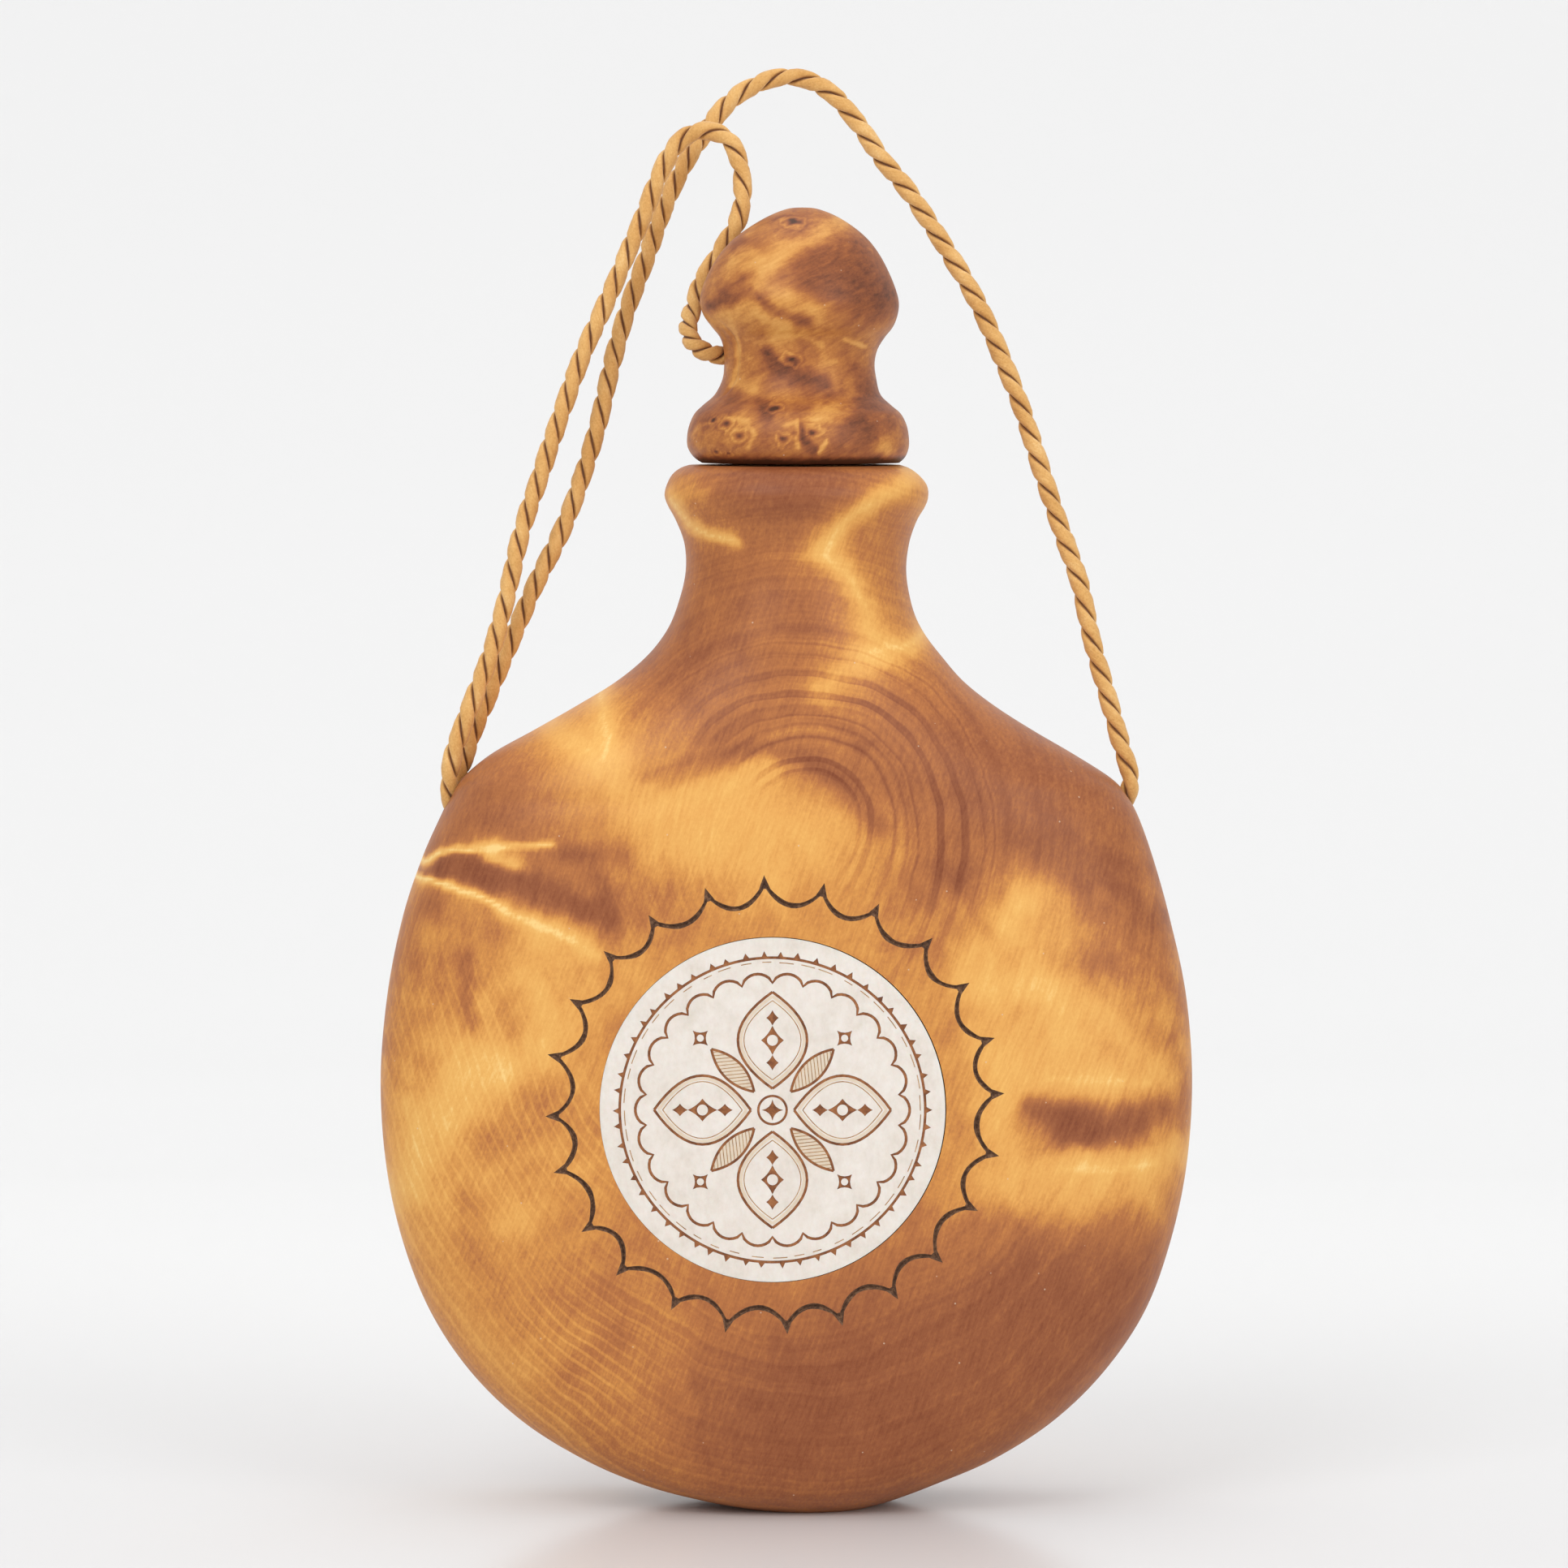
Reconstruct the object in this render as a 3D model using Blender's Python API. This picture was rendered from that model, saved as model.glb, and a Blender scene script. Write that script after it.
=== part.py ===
"""Flat birch flask with an antler disc inlay, a corked stopper and leather cords.

Metres, +Z up, the inlaid face looks along -Y.  Lengths in the tables are millimetres.
"""

import math

import bmesh
import bpy
from mathutils import Vector

MM = 0.001
GAP = 0.3

# Wooden body: horizontal sections from the foot to the rim.
# (height, left edge, right edge, half depth, squareness)
BODY = [
    (0.0, -8.7, 15.0, 12.0, 2.2),
    (1.4, -15.8, 19.6, 15.2, 2.3),
    (4.0, -25.2, 26.2, 18.6, 2.4),
    (8.3, -35.1, 36.0, 21.0, 2.5),
    (14.7, -45.2, 45.8, 22.8, 2.6),
    (23.0, -53.7, 54.2, 24.0, 2.7),
    (33.2, -60.4, 61.0, 24.7, 2.8),
    (45.0, -65.0, 65.3, 25.0, 2.8),
    (58.0, -67.8, 68.0, 25.0, 2.8),
    (72.5, -68.7, 68.9, 25.0, 2.8),
    (87.0, -67.5, 67.8, 25.0, 2.8),
    (100.0, -64.9, 65.0, 24.9, 2.8),
    (110.0, -61.6, 62.2, 24.7, 2.7),
    (117.0, -58.5, 59.7, 24.4, 2.7),
    (120.6, -56.7, 57.7, 24.0, 2.6),
    (123.4, -54.9, 55.2, 23.7, 2.6),
    (127.5, -50.0, 48.8, 23.3, 2.5),
    (131.6, -42.7, 41.8, 22.7, 2.4),
    (135.7, -35.5, 35.4, 22.0, 2.3),
    (139.8, -28.8, 30.2, 21.2, 2.2),
    (144.0, -23.7, 26.5, 20.6, 2.1),
    (148.1, -20.4, 23.4, 20.2, 2.05),
    (152.2, -18.5, 21.5, 19.6, 2.0),
    (158.0, -17.0, 20.4, 18.7, 2.0),
    (163.0, -17.1, 20.8, 18.9, 2.0),
    (167.0, -18.5, 22.1, 20.3, 2.0),
    (169.6, -19.9, 23.6, 21.7, 2.0),
    (171.4, -20.5, 24.1, 22.3, 2.0),
    (173.2, -20.1, 23.8, 21.9, 2.0),
    (174.9, -19.2, 22.4, 20.8, 2.0),
    (176.0, -17.8, 20.8, 19.3, 2.0),
    (176.5, -16.4, 19.4, 17.9, 2.0),
]
BODY_SIDES = 48
BODY_STEP = 6.5

# Hollow inside: (height, half width, half depth)
HOLLOW = [
    (9.0, 20.0, 8.0),
    (12.0, 28.0, 11.5),
    (20.0, 40.0, 14.0),
    (33.0, 50.5, 15.5),
    (50.0, 57.0, 16.0),
    (72.0, 60.0, 16.0),
    (90.0, 57.5, 16.0),
    (103.0, 52.0, 15.5),
    (113.0, 44.0, 14.5),
    (122.0, 34.0, 13.2),
    (131.0, 22.5, 12.0),
    (138.0, 14.5, 11.6),
    (142.0, 9.5, 9.5),
]
HOLLOW_X = 0.6
HOLLOW_Y = 2.0
HOLLOW_SIDES = 32
NECK_X = 1.8
NECK_BORE_R = 11.5
NECK_BORE_Z = 136.0
RIM_Z = 176.5

# Antler disc and the board that closes the hollowing-out opening behind it.
DISC_X = -2.15
DISC_Z = 69.6
DISC_POCKET_R = 28.9
DISC_FLOOR_Y = -20.0
BOARD_POCKET_R = 24.0
BOARD_FLOOR_Y = -16.7
OPENING_R = 19.5

# Stopper head, turned: (height, radius, axis x)
HEAD = [
    (176.9, 16.7, 2.5),
    (177.9, 17.9, 2.3),
    (179.6, 18.7, 2.1),
    (181.6, 18.7, 2.05),
    (183.4, 18.3, 2.05),
    (185.2, 17.4, 2.0),
    (186.6, 15.9, 1.9),
    (188.4, 14.0, 2.0),
    (191.0, 13.0, 2.3),
    (193.6, 12.7, 2.3),
    (196.0, 13.0, 2.5),
    (198.0, 13.9, 2.8),
    (199.8, 15.3, 2.8),
    (201.7, 16.35, 2.5),
    (203.8, 16.8, 2.3),
    (206.0, 16.4, 2.2),
    (209.0, 15.2, 2.2),
    (212.0, 13.5, 2.3),
    (214.6, 11.3, 2.5),
    (216.8, 8.5, 2.7),
    (218.6, 5.4, 2.8),
    (219.7, 2.4, 2.8),
]
HEAD_TOP = (219.9, 2.8)
HEAD_SIDES = 44
CORK = [(152.0, 9.6), (153.0, 10.4), (165.0, 10.9), (176.6, 11.2)]
CORK_SIDES = 36
DOWEL_R = 3.0
DOWEL_Z = (160.0, 187.0)

# Leather cord, as thick as its two twisted strands together.
CORD_R = 1.65
CORD_BORE_R = 2.05
KNOT_SIDES = 16

STRAP_BORE_RIGHT = [
    (49.65, 19.3, 108.6), (50.5, 16.0, 109.7), (52.4, 11.2, 112.0), (54.9, 7.0, 115.0), (57.1, 4.3, 118.4),
]
STRAP_ARCH = [
    (58.6, 2.7, 122.9), (57.2, 2.9, 128.1), (54.6, 3.9, 137.4), (52.0, 5.1, 146.7), (50.0, 6.5, 156.1),
    (46.9, 8.1, 165.3), (43.8, 9.8, 174.7), (40.2, 12.1, 186.0), (37.0, 13.9, 194.3), (32.9, 16.0, 203.6),
    (28.8, 17.8, 210.9), (21.5, 20.7, 222.3), (16.6, 22.3, 228.4), (12.4, 24.0, 234.6), (7.1, 25.5, 240.4),
    (1.1, 26.2, 242.7), (-5.2, 25.8, 241.3), (-10.6, 24.6, 237.4), (-16.0, 22.6, 229.9), (-20.2, 20.4, 221.7),
    (-23.5, 18.2, 212.6), (-27.1, 15.8, 202.6), (-29.7, 13.7, 193.3), (-31.8, 11.7, 184.0), (-34.9, 9.6, 173.6),
    (-38.5, 7.9, 164.3), (-42.6, 6.5, 156.0), (-48.3, 4.5, 142.6), (-53.0, 3.2, 131.2), (-55.4, 2.5, 123.4),
]
STRAP_BORE_LEFT = [
    (-54.6, 3.6, 120.0), (-52.4, 7.0, 116.4), (-50.2, 11.8, 113.5), (-48.6, 16.6, 111.4), (-48.1, 19.4, 110.35),
]
TETHER_ANCHOR = [
    (-54.15, 18.2, 102.1), (-54.4, 15.0, 103.7), (-54.8, 9.5, 106.7), (-55.2, 4.0, 110.8), (-56.0, -0.6, 116.0),
    (-56.7, -2.3, 120.6),
]
TETHER_RUN = [
    (-56.9, -2.5, 123.4), (-56.1, -2.6, 128.1), (-53.5, -2.2, 135.3), (-49.9, -1.2, 144.7), (-47.3, 0.2, 154.0),
    (-44.7, 1.8, 165.3), (-41.6, 3.4, 174.7), (-38.5, 5.2, 184.0), (-34.4, 7.4, 195.3), (-30.2, 9.4, 204.7),
    (-24.6, 12.4, 217.9), (-21.0, 14.2, 226.8), (-17.8, 14.8, 231.6), (-13.4, 14.7, 233.2), (-9.2, 13.9, 231.0),
    (-7.4, 12.2, 225.0), (-8.0, 9.9, 218.2), (-11.4, 8.3, 212.2), (-14.3, 7.5, 207.4), (-15.7, 6.3, 203.0),
    (-16.6, 4.2, 199.6), (-15.4, 2.2, 196.7), (-12.6, 1.7, 195.3),
]
TETHER_HOLE = [(-9.8, 3.25, 194.9), (-2.2, 7.65, 194.6), (6.1, 12.4, 194.3)]

# Knots: (centre, radii)
KNOTS = {
    "strap_knot_right": ((48.8, 22.65, 107.3), (3.6, 2.7, 3.4)),
    "strap_knot_left": ((-47.05, 22.85, 108.75), (3.6, 2.7, 3.4)),
    "tether_knot_shoulder": ((-53.6, 21.55, 100.4), (3.5, 2.6, 3.3)),
    "tether_knot_stopper": ((8.95, 14.05, 194.25), (2.8, 2.6, 3.2)),
}


def clear_scene():
    for ob in list(bpy.data.objects):
        bpy.data.objects.remove(ob, do_unlink=True)


def material(name, colour, roughness):
    mat = bpy.data.materials.new(name)
    mat.use_nodes = True
    mat.diffuse_color = (*colour, 1.0)
    shader = mat.node_tree.nodes["Principled BSDF"]
    shader.inputs["Base Color"].default_value = (*colour, 1.0)
    shader.inputs["Roughness"].default_value = roughness
    return mat


def add_object(name, data, mat=None):
    ob = bpy.data.objects.new(name, data)
    bpy.context.scene.collection.objects.link(ob)
    if mat:
        data.materials.append(mat)
    return ob


def spline_sections(rows, step):
    """Catmull-Rom rows between the given ones, no further apart than step."""
    out = []
    for i in range(len(rows) - 1):
        before = rows[max(i - 1, 0)]
        a = rows[i]
        b = rows[i + 1]
        after = rows[min(i + 2, len(rows) - 1)]
        reach = math.hypot(b[0] - a[0], b[1] - a[1])
        count = max(1, math.ceil(reach / step))
        for k in range(count):
            t = k / count
            out.append(tuple(
                0.5 * (2 * q + (r - p) * t + (2 * p - 5 * q + 4 * r - s) * t * t
                       + (3 * q - p - 3 * r + s) * t ** 3)
                for p, q, r, s in zip(before, a, b, after)
            ))
    out.append(rows[-1])
    return out


def superellipse(cx, cy, z, half_x, half_y, power, sides):
    ring = []
    for k in range(sides):
        angle = 2 * math.pi * (k + 0.5) / sides
        c = math.cos(angle)
        s = math.sin(angle)
        x = cx + half_x * math.copysign(abs(c) ** (2 / power), c)
        y = cy + half_y * math.copysign(abs(s) ** (2 / power), s)
        ring.append((x, y, z))
    return ring


def loft(name, rings, mat=None, apex=None):
    """Closed solid through equal rings of points, ended by flat caps or by an apex."""
    bm = bmesh.new()
    loops = [[bm.verts.new(Vector(p) * MM) for p in ring] for ring in rings]
    sides = len(rings[0])
    for low, high in zip(loops, loops[1:]):
        for k in range(sides):
            j = (k + 1) % sides
            bm.faces.new((low[k], low[j], high[j], high[k]))
    bm.faces.new(list(reversed(loops[0])))
    if apex is None:
        bm.faces.new(loops[-1])
    else:
        tip = bm.verts.new(Vector(apex) * MM)
        for k in range(sides):
            bm.faces.new((loops[-1][k], loops[-1][(k + 1) % sides], tip))
    bmesh.ops.recalc_face_normals(bm, faces=bm.faces)
    mesh = bpy.data.meshes.new(name)
    bm.to_mesh(mesh)
    bm.free()
    return add_object(name, mesh, mat)


def disc_y(name, radius, y0, y1, sides, mat=None):
    """Round slab about the antler disc's axis, between two depths."""
    rings = []
    for y in (y0, y1):
        ring = []
        for k in range(sides):
            angle = 2 * math.pi * k / sides
            ring.append((DISC_X + radius * math.cos(angle), y, DISC_Z + radius * math.sin(angle)))
        rings.append(ring)
    return loft(name, rings, mat)


def lathe(name, profile, sides, mat=None, apex=None):
    """Turned solid from (height, radius, axis x) rows."""
    rings = [superellipse(x, 0.0, z, r, r, 2.0, sides) for z, r, x in profile]
    return loft(name, rings, mat, apex)


def bore_tube(name, points, radius, sides=16):
    """Round cutter along a route."""
    route = [Vector(p) for p in points]
    rings = []
    side = None
    for i, centre in enumerate(route):
        ahead = route[min(i + 1, len(route) - 1)] - route[max(i - 1, 0)]
        ahead.normalize()
        side = ahead.cross(Vector((0.3, 0.5, 1.0))) if side is None else side
        side = (side - ahead * side.dot(ahead)).normalized()
        up = ahead.cross(side)
        ring = []
        for k in range(sides):
            angle = 2 * math.pi * k / sides
            ring.append(tuple(centre + radius * (side * math.cos(angle) + up * math.sin(angle))))
        rings.append(ring)
    return loft(name, rings)


def boolean(target, tool, operation="DIFFERENCE"):
    mod = target.modifiers.new(tool.name, "BOOLEAN")
    mod.operation = operation
    mod.solver = "EXACT"
    mod.object = tool
    tool.hide_render = True
    tool.display_type = "WIRE"


def cord(name, points, mat):
    curve = bpy.data.curves.new(name, "CURVE")
    curve.dimensions = "3D"
    curve.bevel_depth = CORD_R * MM
    curve.bevel_resolution = 2
    curve.use_fill_caps = True
    spline = curve.splines.new("POLY")
    spline.points.add(len(points) - 1)
    for slot, point in zip(spline.points, points):
        slot.co = (*(Vector(point) * MM), 1.0)
    return add_object(name, curve, mat)


def ellipsoid(name, centre, radii, mat):
    rings = []
    layers = KNOT_SIDES // 2
    for i in range(1, layers):
        tilt = math.pi * i / layers
        z = centre[2] - radii[2] * math.cos(tilt)
        wide = math.sin(tilt)
        rings.append(superellipse(centre[0], centre[1], z, radii[0] * wide, radii[1] * wide, 2.0, KNOT_SIDES))
    return loft(name, rings, mat)


def body_form(name, mat=None):
    rings = []
    for z, left, right, depth, power in spline_sections(BODY, BODY_STEP):
        rings.append(superellipse((left + right) / 2, 0.0, z, (right - left) / 2, depth, power, BODY_SIDES))
    return loft(name, rings, mat)


def hollow_form(name):
    rings = []
    for z, half_x, half_y in spline_sections(HOLLOW, 9.0):
        rings.append(superellipse(HOLLOW_X, HOLLOW_Y, z, half_x, half_y, 2.5, HOLLOW_SIDES))
    return loft(name, rings)


def extended(points, reach):
    """The route with its start carried on straight."""
    first = Vector(points[0])
    start = first + (first - Vector(points[1])).normalized() * reach
    return [tuple(start)] + list(points)


def build_flask(wood):
    flask = body_form("flask_body", wood)
    boolean(flask, hollow_form("cut_hollow"))
    bore = [(NECK_BORE_Z, NECK_BORE_R, NECK_X), (RIM_Z + 4, NECK_BORE_R, NECK_X)]
    boolean(flask, lathe("cut_neck_bore", bore, CORK_SIDES))
    boolean(flask, disc_y("cut_disc_pocket", DISC_POCKET_R, -30.0, DISC_FLOOR_Y, 72))
    boolean(flask, disc_y("cut_board_pocket", BOARD_POCKET_R, -22.0, BOARD_FLOOR_Y, 48))
    boolean(flask, disc_y("cut_opening", OPENING_R, -18.0, -8.0, 40))
    right = STRAP_BORE_RIGHT + STRAP_ARCH[:2]
    left = (STRAP_ARCH[-2:] + STRAP_BORE_LEFT)[::-1]
    tether = TETHER_ANCHOR + TETHER_RUN[:2]
    boolean(flask, bore_tube("cut_strap_right", extended(right, 3.5), CORD_BORE_R))
    boolean(flask, bore_tube("cut_strap_left", extended(left, 3.5), CORD_BORE_R))
    boolean(flask, bore_tube("cut_tether", extended(tether, 3.5), CORD_BORE_R))


def build_inlay(antler, wood):
    disc = disc_y("antler_medallion", DISC_POCKET_R - GAP, -30.0, DISC_FLOOR_Y - GAP, 72, antler)
    boolean(disc, body_form("cut_disc_face"), "INTERSECT")
    disc_y("closing_board", BOARD_POCKET_R - GAP, DISC_FLOOR_Y, BOARD_FLOOR_Y - GAP, 48, wood)


def build_stopper(burl, cork, dowel):
    head = lathe("stopper_head", HEAD, HEAD_SIDES, burl, (HEAD_TOP[1], 0.0, HEAD_TOP[0]))
    socket = [(DOWEL_Z[0] - 12, DOWEL_R + GAP, NECK_X), (DOWEL_Z[1] + GAP, DOWEL_R + GAP, NECK_X)]
    boolean(head, lathe("cut_head_socket", socket, 24))
    hole = TETHER_HOLE[::-1] + TETHER_RUN[:-3:-1]
    boolean(head, bore_tube("cut_tether_hole", extended(hole, 3.5), CORD_BORE_R))
    plug = lathe("stopper_cork", [(z, r, NECK_X) for z, r in CORK], CORK_SIDES, cork)
    drill = [(DOWEL_Z[0] - GAP, DOWEL_R + GAP, NECK_X), (RIM_Z + 6, DOWEL_R + GAP, NECK_X)]
    boolean(plug, lathe("cut_cork_socket", drill, 24))
    lathe("cork_dowel", [(z, DOWEL_R, NECK_X) for z in DOWEL_Z], 24, dowel)


def build_cords(leather):
    cord("strap_cord", STRAP_BORE_RIGHT + STRAP_ARCH + STRAP_BORE_LEFT, leather)
    cord("tether_anchor_cord", TETHER_ANCHOR + [(-56.85, -2.45, 122.9)], leather)
    cord("tether_cord", TETHER_RUN + TETHER_HOLE, leather)
    for name, (centre, radii) in KNOTS.items():
        ellipsoid(name, centre, radii, leather)


def main():
    clear_scene()
    build_flask(material("curly_birch", (0.40, 0.18, 0.06), 0.35))
    build_inlay(material("antler", (0.80, 0.76, 0.66), 0.4), material("plain_birch", (0.62, 0.45, 0.26), 0.6))
    build_stopper(
        material("burl_birch", (0.42, 0.20, 0.07), 0.35),
        material("cork", (0.50, 0.33, 0.19), 0.8),
        material("peg_birch", (0.60, 0.43, 0.25), 0.6),
    )
    build_cords(material("leather", (0.55, 0.34, 0.15), 0.8))


main()
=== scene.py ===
"""Looks of the flat birch flask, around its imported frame.  Metres, +Z up, the front faces -Y.

Tables are in millimetres.
"""

import math
import random

import bmesh
import bpy
import numpy as np
from mathutils import Matrix, Vector, noise
from mathutils.geometry import delaunay_2d_cdt


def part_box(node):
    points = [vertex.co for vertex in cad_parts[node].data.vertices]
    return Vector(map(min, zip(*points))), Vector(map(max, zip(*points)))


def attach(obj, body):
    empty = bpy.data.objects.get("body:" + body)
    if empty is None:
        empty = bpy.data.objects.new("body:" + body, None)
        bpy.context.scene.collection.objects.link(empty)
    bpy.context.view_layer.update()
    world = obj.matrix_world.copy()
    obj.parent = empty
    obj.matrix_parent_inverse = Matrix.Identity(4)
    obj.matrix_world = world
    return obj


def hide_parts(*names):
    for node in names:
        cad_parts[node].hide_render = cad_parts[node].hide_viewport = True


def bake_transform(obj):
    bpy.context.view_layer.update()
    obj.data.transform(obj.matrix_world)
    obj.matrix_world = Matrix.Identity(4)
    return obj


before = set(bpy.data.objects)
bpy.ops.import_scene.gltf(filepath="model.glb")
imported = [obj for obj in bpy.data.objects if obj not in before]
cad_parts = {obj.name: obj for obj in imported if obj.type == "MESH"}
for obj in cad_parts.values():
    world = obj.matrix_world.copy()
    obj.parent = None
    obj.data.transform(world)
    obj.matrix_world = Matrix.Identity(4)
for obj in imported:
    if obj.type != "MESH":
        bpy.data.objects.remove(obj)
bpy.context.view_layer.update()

MM = 0.001

# ---------------------------------------------------------------- shared shape tables, as in the CAD

# (height, left edge, right edge, half depth, squareness)
BODY = [
    (0.0, -8.7, 15.0, 12.0, 2.2),
    (1.4, -15.8, 19.6, 15.2, 2.3),
    (4.0, -25.2, 26.2, 18.6, 2.4),
    (8.3, -35.1, 36.0, 21.0, 2.5),
    (14.7, -45.2, 45.8, 22.8, 2.6),
    (23.0, -53.7, 54.2, 24.0, 2.7),
    (33.2, -60.4, 61.0, 24.7, 2.8),
    (45.0, -65.0, 65.3, 25.0, 2.8),
    (58.0, -67.8, 68.0, 25.0, 2.8),
    (72.5, -68.7, 68.9, 25.0, 2.8),
    (87.0, -67.5, 67.8, 25.0, 2.8),
    (100.0, -64.9, 65.0, 24.9, 2.8),
    (110.0, -61.6, 62.2, 24.7, 2.7),
    (117.0, -58.5, 59.7, 24.4, 2.7),
    (120.6, -56.7, 57.7, 24.0, 2.6),
    (123.4, -54.9, 55.2, 23.7, 2.6),
    (127.5, -50.0, 48.8, 23.3, 2.5),
    (131.6, -42.7, 41.8, 22.7, 2.4),
    (135.7, -35.5, 35.4, 22.0, 2.3),
    (139.8, -28.8, 30.2, 21.2, 2.2),
    (144.0, -23.7, 26.5, 20.6, 2.1),
    (148.1, -20.4, 23.4, 20.2, 2.05),
    (152.2, -18.5, 21.5, 19.6, 2.0),
    (158.0, -17.0, 20.4, 18.7, 2.0),
    (163.0, -17.1, 20.8, 18.9, 2.0),
    (167.0, -18.5, 22.1, 20.3, 2.0),
    (169.6, -19.9, 23.6, 21.7, 2.0),
    (171.4, -20.5, 24.1, 22.3, 2.0),
    (173.2, -20.1, 23.8, 21.9, 2.0),
    (174.9, -19.2, 22.4, 20.8, 2.0),
    (176.0, -17.8, 20.8, 19.3, 2.0),
    (176.5, -16.4, 19.4, 17.9, 2.0),
]
# (height, half width, half depth)
HOLLOW = [
    (9.0, 20.0, 8.0),
    (12.0, 28.0, 11.5),
    (20.0, 40.0, 14.0),
    (33.0, 50.5, 15.5),
    (50.0, 57.0, 16.0),
    (72.0, 60.0, 16.0),
    (90.0, 57.5, 16.0),
    (103.0, 52.0, 15.5),
    (113.0, 44.0, 14.5),
    (122.0, 34.0, 13.2),
    (131.0, 22.5, 12.0),
    (138.0, 14.5, 11.6),
]
NECK_X = 1.8
NECK_BORE_R = 11.5
DISC_X = -2.15
DISC_Z = 69.6
DISC_POCKET_R = 28.9
DISC_FLOOR_Y = -20.0
BOARD_POCKET_R = 24.0
BOARD_FLOOR_Y = -16.7
OPENING_R = 19.5
DOWEL_R = 3.0
DOWEL_Z = (160.0, 187.0)

# (height, radius, axis x), with the height and the axis of its apex after it
HEAD = [
    (176.9, 16.7, 2.5),
    (177.9, 17.9, 2.3),
    (179.6, 18.7, 2.1),
    (181.6, 18.7, 2.05),
    (183.4, 18.3, 2.05),
    (185.2, 17.4, 2.0),
    (186.6, 15.9, 1.9),
    (188.4, 14.0, 2.0),
    (191.0, 13.0, 2.3),
    (193.6, 12.7, 2.3),
    (196.0, 13.0, 2.5),
    (198.0, 13.9, 2.8),
    (199.8, 15.3, 2.8),
    (201.7, 16.35, 2.5),
    (203.8, 16.8, 2.3),
    (206.0, 16.4, 2.2),
    (209.0, 15.2, 2.2),
    (212.0, 13.5, 2.3),
    (214.6, 11.3, 2.5),
    (216.8, 8.5, 2.7),
    (218.6, 5.4, 2.8),
    (219.7, 2.4, 2.8),
]
HEAD_TOP = (219.9, 2.8)
# (height, radius)
CORK = [(152.0, 9.6), (153.0, 10.4), (165.0, 10.9), (176.6, 11.2)]

# Routes of the cords (x, y, z), each in the order in which the cord runs
STRAP_BORE_RIGHT = [
    (49.65, 19.3, 108.6), (50.5, 16.0, 109.7), (52.4, 11.2, 112.0), (54.9, 7.0, 115.0),
    (57.1, 4.3, 118.4),
]
STRAP_ARCH = [
    (58.6, 2.7, 122.9), (57.2, 2.9, 128.1), (54.6, 3.9, 137.4), (52.0, 5.1, 146.7),
    (50.0, 6.5, 156.1), (46.9, 8.1, 165.3), (43.8, 9.8, 174.7), (40.2, 12.1, 186.0),
    (37.0, 13.9, 194.3), (32.9, 16.0, 203.6), (28.8, 17.8, 210.9), (21.5, 20.7, 222.3),
    (16.6, 22.3, 228.4), (12.4, 24.0, 234.6), (7.1, 25.5, 240.4), (1.1, 26.2, 242.7),
    (-5.2, 25.8, 241.3), (-10.6, 24.6, 237.4), (-16.0, 22.6, 229.9), (-20.2, 20.4, 221.7),
    (-23.5, 18.2, 212.6), (-27.1, 15.8, 202.6), (-29.7, 13.7, 193.3), (-31.8, 11.7, 184.0),
    (-34.9, 9.6, 173.6), (-38.5, 7.9, 164.3), (-42.6, 6.5, 156.0), (-48.3, 4.5, 142.6),
    (-53.0, 3.2, 131.2), (-55.4, 2.5, 123.4),
]
STRAP_BORE_LEFT = [
    (-54.6, 3.6, 120.0), (-52.4, 7.0, 116.4), (-50.2, 11.8, 113.5), (-48.6, 16.6, 111.4),
    (-48.1, 19.4, 110.35),
]
TETHER_ANCHOR = [
    (-54.15, 18.2, 102.1), (-54.4, 15.0, 103.7), (-54.8, 9.5, 106.7), (-55.2, 4.0, 110.8),
    (-56.0, -0.6, 116.0), (-56.7, -2.3, 120.6),
]
TETHER_RUN = [
    (-56.9, -2.5, 123.4), (-56.1, -2.6, 128.1), (-53.5, -2.2, 135.3), (-49.9, -1.2, 144.7),
    (-47.3, 0.2, 154.0), (-44.7, 1.8, 165.3), (-41.6, 3.4, 174.7), (-38.5, 5.2, 184.0),
    (-34.4, 7.4, 195.3), (-30.2, 9.4, 204.7), (-24.6, 12.4, 217.9), (-21.0, 14.2, 226.8),
    (-17.8, 14.8, 231.6), (-13.4, 14.7, 233.2), (-9.2, 13.9, 231.0), (-7.4, 12.2, 225.0),
    (-8.0, 9.9, 218.2), (-11.4, 8.3, 212.2), (-14.3, 7.5, 207.4), (-15.7, 6.3, 203.0),
    (-16.6, 4.2, 199.6), (-15.4, 2.2, 196.7), (-12.6, 1.7, 195.3),
]
TETHER_HOLE = [(-9.8, 3.25, 194.9), (-2.2, 7.65, 194.6), (6.1, 12.4, 194.3)]


# ---------------------------------------------------------------- camera

CAMERA_DISTANCE = 1.3
CAMERA_TILT = math.radians(3.4)
CAMERA_AIM = Vector((-0.0003, 0.0, 0.1225))
CAMERA_LENS = 176.2


def add_camera():
    data = bpy.data.cameras.new("camera")
    data.lens = CAMERA_LENS
    data.sensor_width = 36.0
    data.clip_end = 20.0
    camera = bpy.data.objects.new("camera", data)
    bpy.context.scene.collection.objects.link(camera)
    back = Vector((0.0, -math.cos(CAMERA_TILT), math.sin(CAMERA_TILT)))
    camera.location = CAMERA_AIM + back * CAMERA_DISTANCE
    camera.rotation_euler = (math.pi / 2 - CAMERA_TILT, 0.0, 0.0)
    bpy.context.scene.camera = camera


add_camera()


# ---------------------------------------------------------------- helpers

def catmull_rom(a, b, c, d, t):
    """Value at t, 0 to 1, between b and c."""
    return 0.5 * (
        2 * b + (c - a) * t + (2 * a - 5 * b + 4 * c - d) * t * t + (3 * b - a - 3 * c + d) * t ** 3
    )


def quadratic(a, b, c, t):
    """Point at t, 0 to 1, of the curve from a to c that bends towards b."""
    return [(1 - t) ** 2 * p + 2 * t * (1 - t) * q + t * t * r for p, q, r in zip(a, b, c)]


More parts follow.
